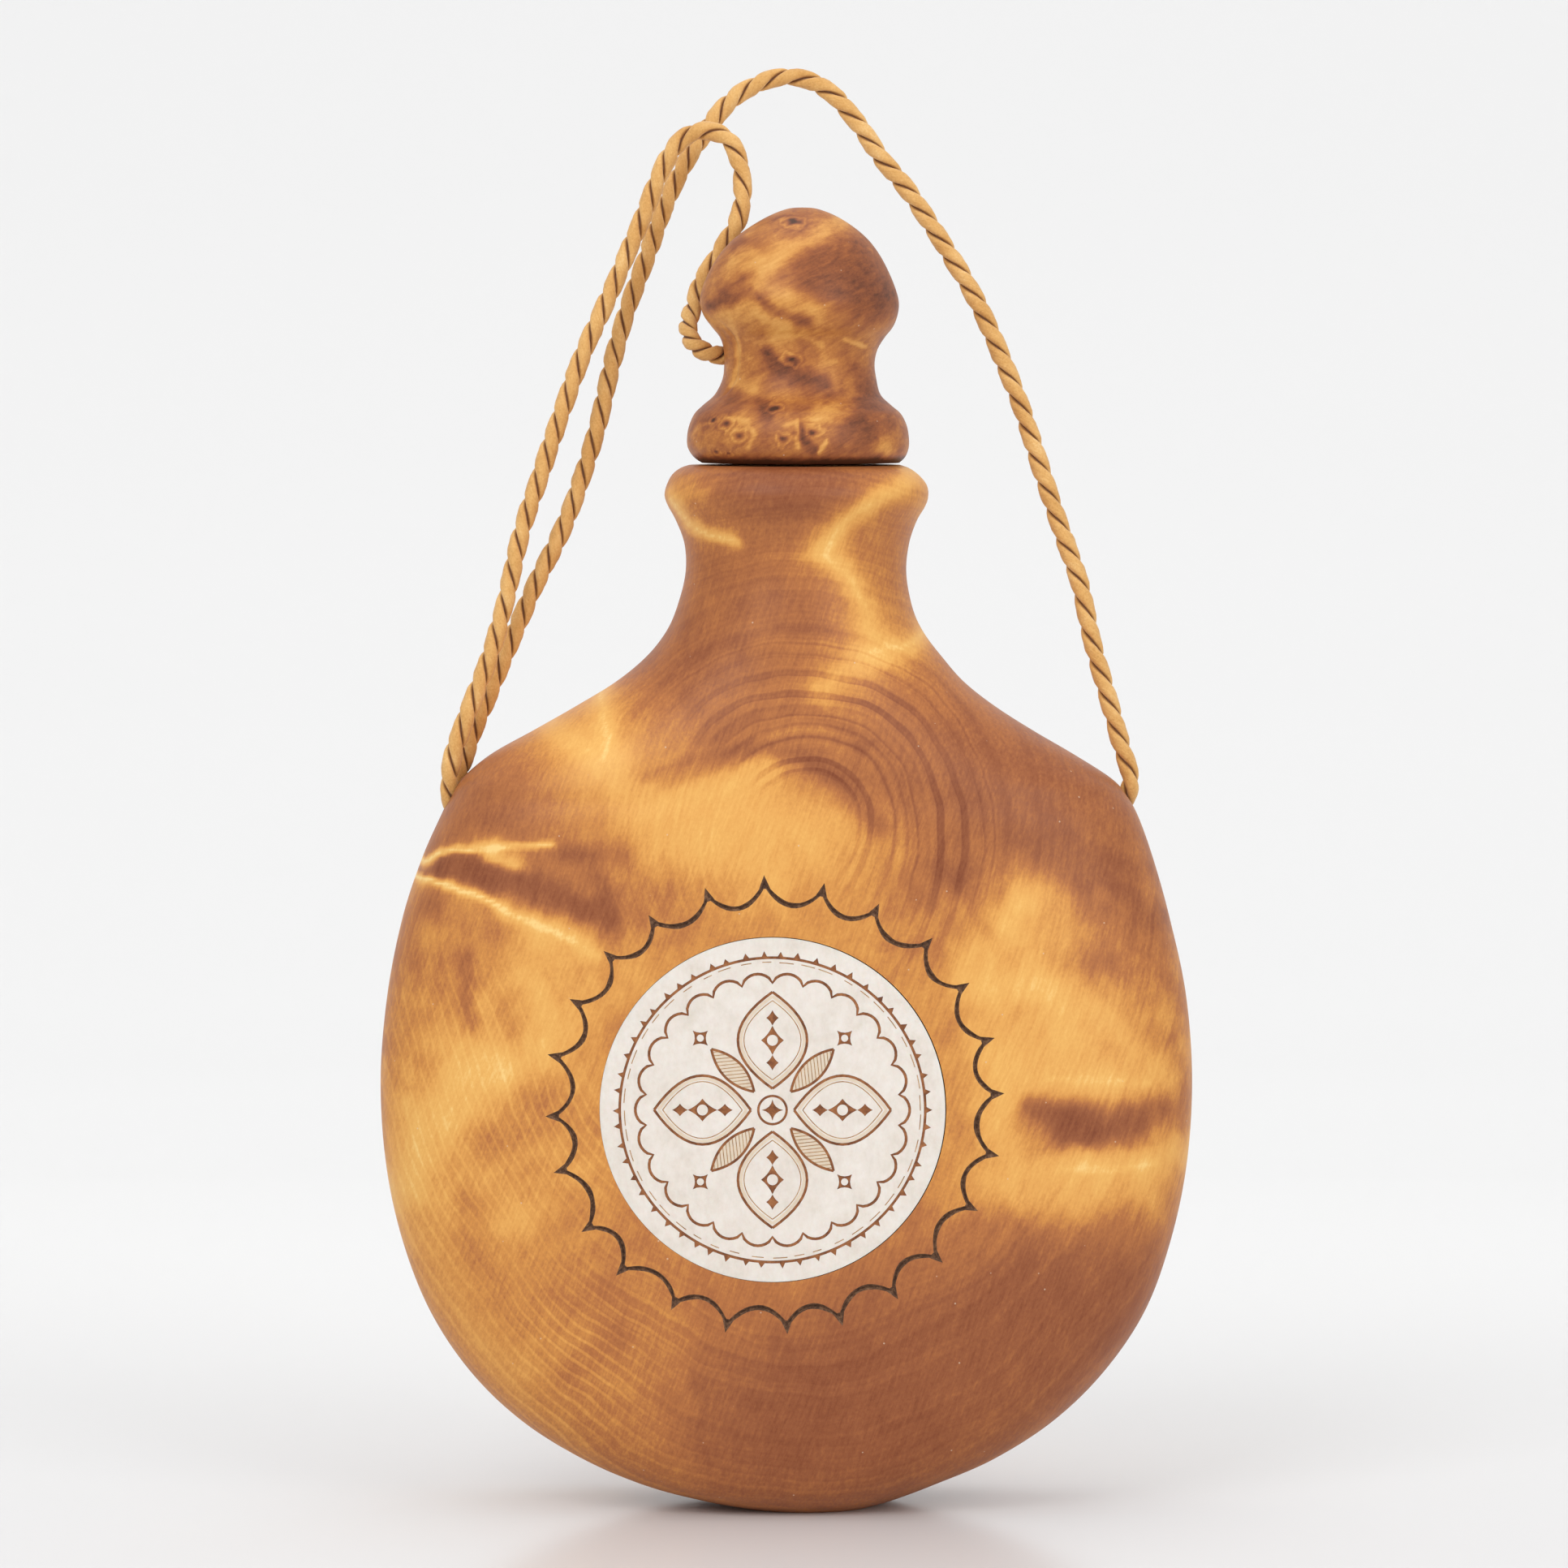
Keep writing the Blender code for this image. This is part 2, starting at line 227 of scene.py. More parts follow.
def spline_rows(rows, step):
    """Catmull-Rom rows between the given ones, no further apart than step in the first two columns."""
    out = []
    for i in range(len(rows) - 1):
        near = rows[max(i - 1, 0)], rows[i], rows[i + 1], rows[min(i + 2, len(rows) - 1)]
        count = max(1, math.ceil(math.dist(near[1][:2], near[2][:2]) / step))
        for k in range(count):
            out.append([catmull_rom(*column, k / count) for column in zip(*near)])
    out.append(list(rows[-1]))
    return np.array(out)


def new_object(name, data, *materials):
    ob = bpy.data.objects.new(name, data)
    bpy.context.scene.collection.objects.link(ob)
    for mat in materials:
        data.materials.append(mat)
    return ob


def mesh_from(name, verts, faces, smooth=True):
    mesh = bpy.data.meshes.new(name)
    mesh.from_pydata([tuple(v) for v in verts], [], faces)
    mesh.validate()
    if smooth:
        mesh.shade_smooth()
    return mesh


def ring_faces(rings, sides, first):
    """Four-sided faces between rings of vertices, the first of which is number first."""
    faces = []
    for i in range(rings - 1):
        a = first + i * sides
        for k in range(sides):
            j = (k + 1) % sides
            faces.append((a + k, a + j, a + sides + j, a + sides + k))
    return faces


def superellipse_ring(cx, cy, z, half_x, half_y, power, angles):
    c = np.cos(angles)
    s = np.sin(angles)
    x = cx + half_x * np.sign(c) * np.abs(c) ** (2 / power)
    y = cy + half_y * np.sign(s) * np.abs(s) ** (2 / power)
    return np.stack([x, y, np.full_like(x, z)], 1)


def fix_normals(mesh):
    bm = bmesh.new()
    bm.from_mesh(mesh)
    bmesh.ops.recalc_face_normals(bm, faces=bm.faces)
    bm.to_mesh(mesh)
    bm.free()


def closed_tubes(name, tubes, smooth=True):
    """Mesh, in metres, of capped tubes, each a list of equal rings given in millimetres."""
    verts = []
    faces = []
    first = 0
    for rings in tubes:
        sides = len(rings[0])
        last = first + (len(rings) - 1) * sides
        verts.extend(rings)
        faces.extend(ring_faces(len(rings), sides, first))
        faces.append(tuple(reversed(range(first, first + sides))))
        faces.append(tuple(range(last, last + sides)))
        first = last + sides
    mesh = mesh_from(name, np.concatenate(verts) * MM, faces, smooth)
    fix_normals(mesh)
    return mesh


def closed_object(name, tubes, *materials, smooth=True):
    return new_object(name, closed_tubes(name, tubes, smooth), *materials)


def circle_angles(sides, offset=0.5):
    """Angles round a circle, the first one offset steps on from zero."""
    return 2 * math.pi * (np.arange(sides) + offset) / sides


def subtract(target, cutters):
    """Cuts the cutters out of target for good and removes them."""
    for cutter in cutters:
        mod = target.modifiers.new("cut", "BOOLEAN")
        mod.operation = "DIFFERENCE"
        mod.solver = "MANIFOLD"
        mod.material_mode = "TRANSFER"
        mod.object = cutter
    bpy.context.view_layer.update()
    graph = bpy.context.evaluated_depsgraph_get()
    made = bpy.data.meshes.new_from_object(target.evaluated_get(graph))
    target.modifiers.clear()
    old = target.data
    target.data = made
    bpy.data.meshes.remove(old)
    for cutter in cutters:
        bpy.data.objects.remove(cutter, do_unlink=True)


def set_attribute(mesh, name, values):
    layer = mesh.attributes.new(name, "FLOAT", "POINT")
    layer.data.foreach_set("value", np.asarray(values, np.float32))


def vertices_mm(mesh):
    co = np.empty(len(mesh.vertices) * 3)
    mesh.vertices.foreach_get("co", co)
    return co.reshape(-1, 3) / MM


def smoothstep(x, low, high):
    """0 below low, 1 above high, smooth between."""
    t = np.clip((x - low) / (high - low), 0, 1)
    return t * t * (3 - 2 * t)


# ---------------------------------------------------------------- shader helper

class Nodes:
    """Short calls for building one material's node tree."""

    def __init__(self, name):
        self.mat = bpy.data.materials.new(name)
        self.mat.use_nodes = True
        self.tree = self.mat.node_tree
        self.shader = self.tree.nodes["Principled BSDF"]

    def node(self, kind, **settings):
        made = self.tree.nodes.new(kind)
        for key, value in settings.items():
            setattr(made, key, value)
        return made

    def plug(self, value, socket):
        if isinstance(value, bpy.types.NodeSocket):
            self.tree.links.new(value, socket)
        else:
            socket.default_value = value

    def fill(self, node, **sockets):
        """Plugs values or links into inputs called as the keywords, with spaces for underscores."""
        for name, value in sockets.items():
            self.plug(value, node.inputs[name.replace("_", " ")])
        return node.outputs

    def attribute(self, name):
        return self.node("ShaderNodeAttribute", attribute_name=name).outputs["Fac"]

    def position(self, scale=(1.0, 1.0, 1.0), rotation=(0.0, 0.0, 0.0)):
        """The piece's own coordinates, turned by rotation and then stretched by scale."""
        source = self.node("ShaderNodeTexCoord").outputs["Object"]
        turned = self.fill(self.node("ShaderNodeMapping"), Vector=source, Rotation=rotation)["Vector"]
        return self.stretched(turned, scale)

    def stretched(self, vector, scale):
        return self.fill(self.node("ShaderNodeMapping"), Vector=vector, Scale=scale)["Vector"]

    def noise(self, vector, scale, detail=2.0, roughness=0.5, distortion=0.0):
        return self.fill(
            self.node("ShaderNodeTexNoise"), Vector=vector, Scale=scale, Detail=detail,
            Roughness=roughness, Distortion=distortion,
        )["Fac"]

    def noise_1d(self, value, scale, detail, roughness):
        return self.fill(
            self.node("ShaderNodeTexNoise", noise_dimensions="1D"), W=value, Scale=scale, Detail=detail,
            Roughness=roughness,
        )["Fac"]

    def voronoi(self, vector, scale):
        return self.fill(self.node("ShaderNodeTexVoronoi"), Vector=vector, Scale=scale)["Distance"]

    def math(self, operation, a, b=0.0):
        made = self.node("ShaderNodeMath", operation=operation)
        self.plug(a, made.inputs[0])
        self.plug(b, made.inputs[1])
        return made.outputs[0]

    def scaled(self, value, weight, middle=0.0):
        """The value times a weight, once its middle is taken off."""
        if middle:
            value = self.math("SUBTRACT", value, middle)
        return self.math("MULTIPLY", value, weight)

    def total(self, first, *others):
        for other in others:
            first = self.math("ADD", first, other)
        return first

    def span(self, value, low, high, to_low=0.0, to_high=1.0):
        """Smooth step of the value from low to high."""
        return self.fill(
            self.node("ShaderNodeMapRange", interpolation_type="SMOOTHSTEP"), Value=value,
            From_Min=low, From_Max=high, To_Min=to_low, To_Max=to_high,
        )["Result"]

    def ramp(self, value, stops):
        made = self.node("ShaderNodeValToRGB")
        self.plug(value, made.inputs["Fac"])
        elements = made.color_ramp.elements
        while len(elements) < len(stops):
            elements.new(1.0)
        for element, (where, colour) in zip(elements, stops):
            element.position = where
            element.color = (*srgb(colour), 1.0)
        return made.outputs["Color"]

    def mix(self, factor, a, b):
        """Mix of two colours, each a socket or screen values."""
        a, b = ((*srgb(c), 1.0) if isinstance(c, tuple) else c for c in (a, b))
        return self.fill(self.node("ShaderNodeMix", data_type="RGBA"), Factor=factor, A=a, B=b)["Result"]

    def bump(self, height, distance, strength):
        made = self.node("ShaderNodeBump")
        return self.fill(made, Height=height, Distance=distance, Strength=strength)["Normal"]

    def set(self, **sockets):
        self.fill(self.shader, **sockets)
        return self.mat


def srgb(colour):
    """Linear colour from 0-255 screen values."""
    return tuple((c / 255 / 12.92) if c < 10.3 else ((c / 255 + 0.055) / 1.055) ** 2.4 for c in colour)


# ---------------------------------------------------------------- twisted leather cords

CORD_PITCH = 10.7
TIGHT_PITCH = 6.2
TIGHTEN_OVER = 8.0
STRAND_SHIFT = 0.72
STRAND_RADIAL = 0.90
STRAND_WIDE = 1.25
STRAND_SIDES = 14
# Steps that keep the leather's noise from repeating on the other strand and on the next cord
STRAND_APART = 400.0
CORD_APART = 37.0
# Half width over which the leather's noise spreads across a strand
STRAND_GRAIN = 1.6
CORD_BORE_R = 2.05
BORE_LEAD = 3.5


def smooth_route(points, step):
    """Evenly spaced points, step apart, on a smooth curve through the given ones."""
    dense = spline_rows([tuple(p) for p in points], 0.5)
    along = np.concatenate([[0.0], np.cumsum(np.linalg.norm(np.diff(dense, axis=0), axis=1))])
    marks = np.linspace(0.0, along[-1], max(2, int(round(along[-1] / step)) + 1))
    route = np.stack([np.interp(marks, along, dense[:, i]) for i in range(3)], 1)
    for _ in range(3):
        route[1:-1] = 0.5 * route[1:-1] + 0.25 * (route[:-2] + route[2:])
    return route, along[-1]


def carried_frames(route):
    """Tangent and two sideways directions at each point, turning no more than the route does."""
    tangents = np.gradient(route, axis=0)
    tangents /= np.linalg.norm(tangents, axis=1)[:, None]
    side = np.cross(tangents[0], (0.31, 0.9, 0.2))
    sides = []
    for t in tangents:
        side = side - t * np.dot(side, t)
        side /= np.linalg.norm(side)
        sides.append(side)
    sides = np.array(sides)
    return tangents, sides, np.cross(tangents, sides)


def wobble(places, pace, strand, third):
    """Slow random change along a strand, -1 to 1."""
    return np.array([noise.noise(Vector((s * pace, strand, third))) for s in places])


def twisted_mesh(name, points, phase=0.0, step=0.45, seed=0, tight_end=0.0):
    """Two leather strands laid round each other, left-handed, tighter over the last stretch."""
    route, length = smooth_route(points, step)
    tangents, sides, ups = carried_frames(route)
    s = np.linspace(0.0, length, len(route))
    tight_from = length - tight_end
    tightness = smoothstep(s, tight_from, tight_from + TIGHTEN_OVER)
    pace = 1 / CORD_PITCH + (1 / TIGHT_PITCH - 1 / CORD_PITCH) * tightness
    pace *= 1 + 0.12 * wobble(s, 0.09, seed * 4.7, 3.3)
    turns = np.concatenate([[0.0], np.cumsum((pace[1:] + pace[:-1]) / 2 * np.diff(s))])
    angles = circle_angles(STRAND_SIDES, 0.0)
    strands = []
    for strand in (0, 1):
        turn = -2 * math.pi * turns + math.pi * strand + phase
        radial = sides * np.cos(turn)[:, None] + ups * np.sin(turn)[:, None]
        across = np.cross(tangents, radial)
        swell = 1.0 + 0.10 * wobble(s, 0.35, strand * 7.1 + seed, 1.7)
        swell += 0.05 * wobble(s, 1.3, strand * 3.3 + seed, 5.2)
        flat = 1.0 + 0.08 * wobble(s, 0.6, strand * 2.9 + seed, 9.4)
        strands.append([
            route[i] + radial[i] * STRAND_SHIFT
            + radial[i] * (STRAND_RADIAL * swell[i] * np.cos(angles))[:, None]
            + across[i] * (STRAND_WIDE * swell[i] * flat[i] * np.sin(angles))[:, None]
            for i in range(len(route))
        ])
    mesh = closed_tubes(name, strands)
    along = np.repeat(s, STRAND_SIDES)
    along = np.concatenate([along, along + STRAND_APART]) + seed * CORD_APART
    set_attribute(mesh, "along", along * MM)
    set_attribute(mesh, "around", np.tile(np.sin(angles), 2 * len(route)))
    set_attribute(mesh, "inner", np.tile(0.5 - 0.5 * np.cos(angles), 2 * len(route)))
    return mesh, route * MM, length * MM


def leather_material():
    n = Nodes("leather")
    around = n.scaled(n.attribute("around"), STRAND_GRAIN * MM)
    strand = n.fill(n.node("ShaderNodeCombineXYZ"), X=n.attribute("along"), Y=around)["Vector"]
    wrinkle = n.noise(n.stretched(strand, (0.22, 1.0, 1.0)), 2600.0, 3.0, 0.6)
    patch = n.noise(n.position(), 160.0, 3.0, 0.6)
    nap = n.noise(n.position(), 2800.0, 3.0, 0.65)
    pores = n.span(n.voronoi(n.position(), 1700.0), 0.10, 0.30)
    tone = n.total(n.scaled(patch, 0.45), n.scaled(nap, 0.35), n.scaled(wrinkle, 0.2))
    colour = n.ramp(tone, [
        (0.32, (194, 140, 74)), (0.44, (216, 162, 92)), (0.56, (230, 180, 110)), (0.70, (243, 204, 144)),
    ])
    colour = n.mix(n.scaled(n.math("SUBTRACT", 1.0, pores), 0.08), colour, (150, 96, 44))
    # Painted shade: the inner sides of the two strands, where they press against each other, are coloured
    # dark brown.
    strand_groove_shade = n.span(n.attribute("inner"), 0.62, 0.86)
    colour = n.mix(strand_groove_shade, colour, (132, 82, 38))
    height = n.total(n.scaled(wrinkle, 0.8), n.scaled(nap, 0.4), n.scaled(pores, 0.3))
    return n.set(
        Base_Color=colour, Roughness=0.78, Normal=n.bump(height, 0.00012, 0.9),
        Sheen_Weight=0.25, Sheen_Roughness=0.5, Specular_IOR_Level=0.3,
    )


leather = leather_material()


KNOT_INSET = 0.5
KNOT_BACK = 0.7


def knot_route(centre, radii, turn):
    """One overhand knot, as a trefoil with a small gap between its start and its end."""
    points = []
    for k in range(22):
        t = 2 * math.pi * k / 23 + 0.3
        x = (math.sin(t) + 2 * math.sin(2 * t)) / 3
        y = -math.sin(3 * t)
        z = (math.cos(t) - 2 * math.cos(2 * t)) / 3
        spun = Matrix.Rotation(turn, 3, "Y") @ Vector((x * radii[0], y * radii[1], z * radii[2]))
        points.append(tuple(centre + spun))
    return points


def add_knot(name, node, body, turn, seed):
    """Knot about as large as its CAD node's box, and a little further back."""
    low, high = (Vector(corner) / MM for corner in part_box(node))
    radii = (high - low) / 2 - Vector((KNOT_INSET, KNOT_INSET, KNOT_INSET))
    centre = (low + high) / 2 + Vector((0.0, KNOT_BACK, 0.0))
    mesh, _, _ = twisted_mesh(name, knot_route(centre, radii, turn), seed=seed, step=0.35)
    knot = new_object(name, mesh, leather)
    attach(knot, body)
    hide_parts(node)
    return knot


def add_cords():
    """Strap, tether and the knots at their ends."""
    mesh, route, length = twisted_mesh("strap", STRAP_BORE_RIGHT + STRAP_ARCH + STRAP_BORE_LEFT, 0.6)
    strap = new_object("strap", mesh, leather)
    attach(strap, "flask")
    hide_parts("strap_cord")
    knots = [
        add_knot("knot_right", "strap_knot_right", "flask", 0.4, 3),
        add_knot("knot_left", "strap_knot_left", "flask", 1.9, 4),
        add_knot("tether_knot_back", "tether_knot_shoulder", "flask", 3.0, 5),
        add_knot("tether_knot_waist", "tether_knot_stopper", "stopper", 5.1, 6),
    ]
    tether_points = TETHER_ANCHOR + TETHER_RUN + TETHER_HOLE
    mesh, route, length = twisted_mesh("tether", tether_points, 2.0, seed=1, tight_end=38.0)
    tether = new_object("tether", mesh, leather)
    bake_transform(tether)
    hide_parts("tether_cord", "tether_anchor_cord")


add_cords()


# ---------------------------------------------------------------- wooden body

BODY_STEP = 0.7
FRONT_STEP = 0.65
BACK_STEP = 1.4
# Half width, half depth and squareness where the body is widest
WIDEST = (68.6, 25.0, 2.8)
HOLLOW_X = 0.6
HOLLOW_Y = 2.0
HOLLOW_SQUARENESS = 2.5
NECK_BORE_HEIGHTS = (141.0, 160.0, 182.0)
RING_X = -1.9
RING_Z = 70.1
SCALLOPS = 24
SCALLOP_CUSP_R = 37.0
SCALLOP_WAIST_R = 33.9
FIRST_CUSP = math.radians(92.6)
GROOVE_HALF_WIDTH = 0.42
GROOVE_DEPTH = 0.55
GROOVE_STEPS = 14
CUTTER_LIFT = 0.25

body_rows = spline_rows(BODY, BODY_STEP)


def body_depth(x, z):
    """Half depth of the wooden body at a place on its front, in millimetres."""
    left, right, depth, power = (np.interp(z, body_rows[:, 0], body_rows[:, i]) for i in (1, 2, 3, 4))
    inside = 1 - np.abs((x - (left + right) / 2) / ((right - left) / 2)) ** power
    return depth * np.clip(inside, 0, 1) ** (1 / power)


def front_weighted_angles():
    """Angles round the body that put close columns on the front and sides, and wide ones on the back."""
    dense = np.linspace(0, 2 * math.pi, 6001)
    widest = superellipse_ring(0, 0, 0, *WIDEST, dense)
    pace = np.linalg.norm(np.diff(widest, axis=0), axis=1)
    behind = smoothstep((widest[1:, 1] + widest[:-1, 1]) / 2, 0, 15)
    along = np.concatenate([[0], np.cumsum(pace / (FRONT_STEP + (BACK_STEP - FRONT_STEP) * behind))])
    count = int(along[-1])
    return np.interp(np.arange(count) / count * along[-1], along, dense)


def body_rings():
    angles = front_weighted_angles()
    return [
        superellipse_ring((left + right) / 2, 0, z, (right - left) / 2, depth, power, angles)
        for z, left, right, depth, power in body_rows
    ]


def disc_cutter(name, radius, y0, y1, sides, mat):
    """Round slab on the disc's axis, from depth y0 back to y1."""
    angles = circle_angles(sides)
    x = DISC_X + radius * np.cos(angles)
    z = DISC_Z + radius * np.sin(angles)
    rings = [np.stack([x, np.full(sides, y), z], 1) for y in (y0, y1)]
    return closed_object(name, [rings], mat, smooth=False)


def hollow_cutter(mat):
    angles = circle_angles(64)
    rings = [
        superellipse_ring(HOLLOW_X, HOLLOW_Y, z, half_x, half_y, HOLLOW_SQUARENESS, angles)
        for z, half_x, half_y in spline_rows(HOLLOW, 6.0)
    ]
    for z in NECK_BORE_HEIGHTS:
        rings.append(superellipse_ring(NECK_X, 0.0, z, NECK_BORE_R, NECK_BORE_R, 2.0, angles))
    return closed_object("cut_hollow", [rings], mat)


def cord_bore(name, points, *materials):
    """Cutter along a cord's route, which starts a little before it."""
    first = Vector(points[0])
    before = first + (first - Vector(points[1])).normalized() * BORE_LEAD
    route, _ = smooth_route([tuple(before)] + points, 1.5)
    _, sides, ups = carried_frames(route)
    angles = circle_angles(20)[:, None]
    rings = [
        p + CORD_BORE_R * (np.cos(angles) * side + np.sin(angles) * up)
        for p, side, up in zip(route, sides, ups)
    ]
    return closed_object(name, [rings], *materials)


def on_front(x, z, lift):
    """A point over the front face, lift outwards."""
    return np.array([x, -float(body_depth(x, z)) - lift, z])


def cusp_point(k):
    """Place (x, z) and direction of the point between scallops k - 1 and k."""
    rng = random.Random(40 + k % SCALLOPS)
    angle = FIRST_CUSP - 2 * math.pi * k / SCALLOPS + rng.uniform(-0.012, 0.012)
    radius = SCALLOP_CUSP_R + rng.uniform(-0.35, 0.35)
    return RING_X + radius * math.cos(angle), RING_Z + radius * math.sin(angle), angle


def groove_prism(k):
    """V-shaped cutter along one scallop, thin at both ends."""
    x0, z0, a0 = cusp_point(k)
    x1, z1, a1 = cusp_point(k + 1)
    if a1 > a0:
        a1 -= 2 * math.pi
    middle = (a0 + a1) / 2
    sag = SCALLOP_WAIST_R + random.Random(90 + k).uniform(-0.25, 0.25)
    bend = (
        2 * (RING_X + sag * math.cos(middle)) - (x0 + x1) / 2,
        2 * (RING_Z + sag * math.sin(middle)) - (z0 + z1) / 2,
    )
    rings = []
    for i in range(GROOVE_STEPS + 1):
        t = i / GROOVE_STEPS
        x, z = quadratic((x0, z0), bend, (x1, z1), t)
        dx = 2 * (1 - t) * (bend[0] - x0) + 2 * t * (x1 - bend[0])
        dz = 2 * (1 - t) * (bend[1] - z0) + 2 * t * (z1 - bend[1])
        size = math.hypot(dx, dz)
        press = 0.55 + 0.45 * math.sin(math.pi * t) ** 0.6
        press *= 1 + 0.3 * noise.noise(Vector((k * 3.7, t * 5.0, 0.5)))
        depth = GROOVE_DEPTH * press
        spread = GROOVE_HALF_WIDTH * press * (depth + CUTTER_LIFT) / depth
        nx = -dz / size * spread
        nz = dx / size * spread
        rings.append(np.array([
            on_front(x + nx, z + nz, CUTTER_LIFT),
            on_front(x, z, -depth),
            on_front(x - nx, z - nz, CUTTER_LIFT),
        ]))
    return rings


def cusp_nick(k):
    """Small three-cornered chip at the point between two scallops, as its top and its low triangle."""
    x, z, angle = cusp_point(k)
    cusp = np.array([x, z])
    out = np.array([math.cos(angle), math.sin(angle)])
    side = np.array([-out[1], out[0]])
    corners = cusp + out * 1.45, cusp - out * 0.85 + side * 0.95, cusp - out * 0.85 - side * 0.95
    middle = cusp - out * 0.25
    return [
        np.array([on_front(*(middle + (corner - middle) * spread), lift) for corner in corners])
        for spread, lift in ((1.5, 0.3), (0.03, -0.6))
    ]


# Dark brown for the cut faces of the scallop grooves, the nicks at their points and the disc's pocket wall:
# painted shade in these recesses and in the thin gap round the disc.
def recess_shade_material():
    n = Nodes("recess_painted_shade")
    tone = n.noise(n.position(), 1500.0, 3.0, 0.7)
    colour = n.ramp(tone, [(0.3, (64, 42, 30)), (0.5, (98, 68, 48)), (0.68, (140, 104, 76))])
    return n.set(Base_Color=colour, Roughness=0.8, Normal=n.bump(tone, 0.0001, 0.8))


def raw_wood_material():
    n = Nodes("raw_birch")
    grain = n.noise(n.position((1.0, 1.0, 0.15)), 900.0, 3.0, 0.6)
    broad = n.noise(n.position((1.0, 1.0, 0.3)), 90.0, 2.0)
    tone = n.total(n.scaled(grain, 0.6), n.scaled(broad, 0.4))
    colour = n.ramp(tone, [(0.3, (150, 102, 58)), (0.5, (190, 142, 90)), (0.7, (214, 172, 120))])
    return n.set(Base_Color=colour, Roughness=0.75, Normal=n.bump(grain, 0.0001, 0.6))


# Figure of the wood on the front.  These strokes (x, z) are both streaks and glints
NECK_RIGHT = [(14.6, 146), (18.5, 146.4), (23, 148.2)]
UPPER_BOLT = [(-62, 109.6), (-60, 110.4), (-58.1, 111.8), (-53.7, 111.9), (-48.5, 112.5)]
UPPER_TIP = [(-49.2, 112.8), (-44, 113.1), (-39.4, 113.5)]
BOLT_FORK = [(-49.5, 110.9), (-45.0, 109.6)]
LOWER_BOLT = [(-62.5, 107.2), (-60.1, 107.4), (-55.7, 105.9), (-50.2, 104.4), (-46.2, 102.4)]
# Strokes: (points, half width, strength)
STREAKS = [
    # neck lightning
    ([(22, 175.6), (14, 170.3), (9.7, 167.6), (7.9, 164.4), (6.5, 161.7)], 1.3, 0.42),
    ([(6.5, 161.7), (11, 157.6), (13.3, 153.6), (13.9, 150), (14.6, 145.8)], 1.6, 0.34),
    (NECK_RIGHT, 1.4, 0.32),
    ([(14.6, 145.8), (10, 142.6), (6, 138.3)], 2.2, 0.24),
    ([(-19.5, 170.5), (-16.4, 166.7), (-12.9, 164.9), (-8.5, 164.3)], 0.9, 0.36),
    ([(2, 162), (6.5, 161.7)], 0.9, 0.08),
    # left shoulder
    ([(-31.4, 138.6), (-30.4, 135.1), (-29.4, 131.1), (-30.4, 126.7)], 1.5, 0.34),
    ([(-39.3, 133.6), (-35.3, 130.1), (-31, 126.3)], 1.9, 0.28),
    ([(-30.5, 126.5), (-27.9, 123.2), (-24, 119.5)], 2.2, 0.18),
    # left edge
    (UPPER_BOLT, 0.55, 0.50),
    (UPPER_TIP, 0.45, 0.45),
    (BOLT_FORK, 1.5, 0.38),
    (LOWER_BOLT, 0.6, 0.48),
    ([(-46.2, 102.4), (-40.3, 99.7), (-35.3, 97.4), (-32.4, 95.4)], 0.8, 0.38),
    # over the centre
    ([(-20.5, 120.9), (-10.6, 124.3), (-3.2, 126)], 1.8, 0.26),
    ([(-14, 119), (-4, 119.5), (4, 115)], 4.5, 0.18),
    ([(-17, 115), (-9, 112)], 3.0, 0.12),
    # right
    ([(41, 105), (40, 100)], 2.8, 0.26),
    ([(31, 93), (36, 89), (44, 90)], 4.0, 0.20),
    ([(34, 80), (42, 79), (50, 84)], 3.2, 0.18),
    ([(35.3, 68.1), (38.6, 73.5), (48.8, 74.6), (54.8, 74), (63, 73)], 2.4, 0.30),
    ([(35.3, 64.3), (38.6, 60.5), (46.1, 59.3), (54.2, 58.7), (62.3, 59.5), (67, 62)], 2.0, 0.34),
    ([(36, 57), (46, 55), (58, 54)], 3.0, 0.14),
    ([(40, 103), (38, 100), (34, 94.7)], 1.6, 0.22),
    ([(46.5, 90.5), (42.5, 82), (48, 75)], 2.2, 0.22),
    ([(51, 88), (60.6, 76.4)], 1.6, 0.20),
    # left
    ([(-41, 97), (-42, 88)], 4.0, 0.20),
    ([(-36, 84), (-41, 78.4), (-46.2, 77), (-52, 78)], 3.0, 0.26),
    ([(-50, 77), (-56.5, 73.6), (-53.8, 70)], 2.6, 0.22),
    ([(-53, 70), (-59.2, 66.5), (-64, 61), (-65, 54)], 2.8, 0.30),
    ([(-46.2, 50.3), (-44, 52)], 2.2, 0.22),
    ([(-60, 46), (-54, 34), (-45, 25)], 3.4, 0.10),
    ([(-39, 63), (-33, 57)], 2.6, 0.12),
    # rim and stray lights
    ([(22.5, 176), (22.5, 170)], 2.0, 0.12),
    ([(-17, 173), (-14, 171)], 1.8, 0.06),
]
SHADES = [
    ([(-60, 109), (-46, 107.4), (-38, 104), (-30, 101)], 2.2, -0.34),
    ([(-38, 112), (-26, 113)], 1.6, -0.16),
    ([(41, 69.5), (47, 67.5)], 2.4, -0.30),
    ([(50, 66), (57, 66.4), (64, 69)], 2.8, -0.30),
    ([(46, 64.4), (52, 63.6)], 1.6, -0.20),
    ([(-51, 65), (-49, 62)], 2.6, -0.12),
    ([(-54, 95), (-53, 86), (-50, 76)], 1.2, -0.16),
    ([(-47, 88), (-44.5, 76), (-43.5, 72)], 1.6, -0.10),
    ([(-24, 124.5), (-14, 128.4), (-6, 130)], 0.9, -0.12),
    ([(-31, 38), (-29, 34)], 3.4, -0.07),
    ([(-36, 24), (-30, 30)], 3.0, -0.10),
    ([(-14, 46), (-14, 12)], 1.6, -0.05),
    ([(-20, 123), (-10, 127.4), (-3, 129.4), (3, 129), (10, 125), (15, 117)], 1.7, -0.16),
    ([(-14, 131), (-3, 136), (6, 135.6), (14, 130)], 1.4, -0.12),
    ([(4, 169), (12, 163)], 2.6, -0.05),
]
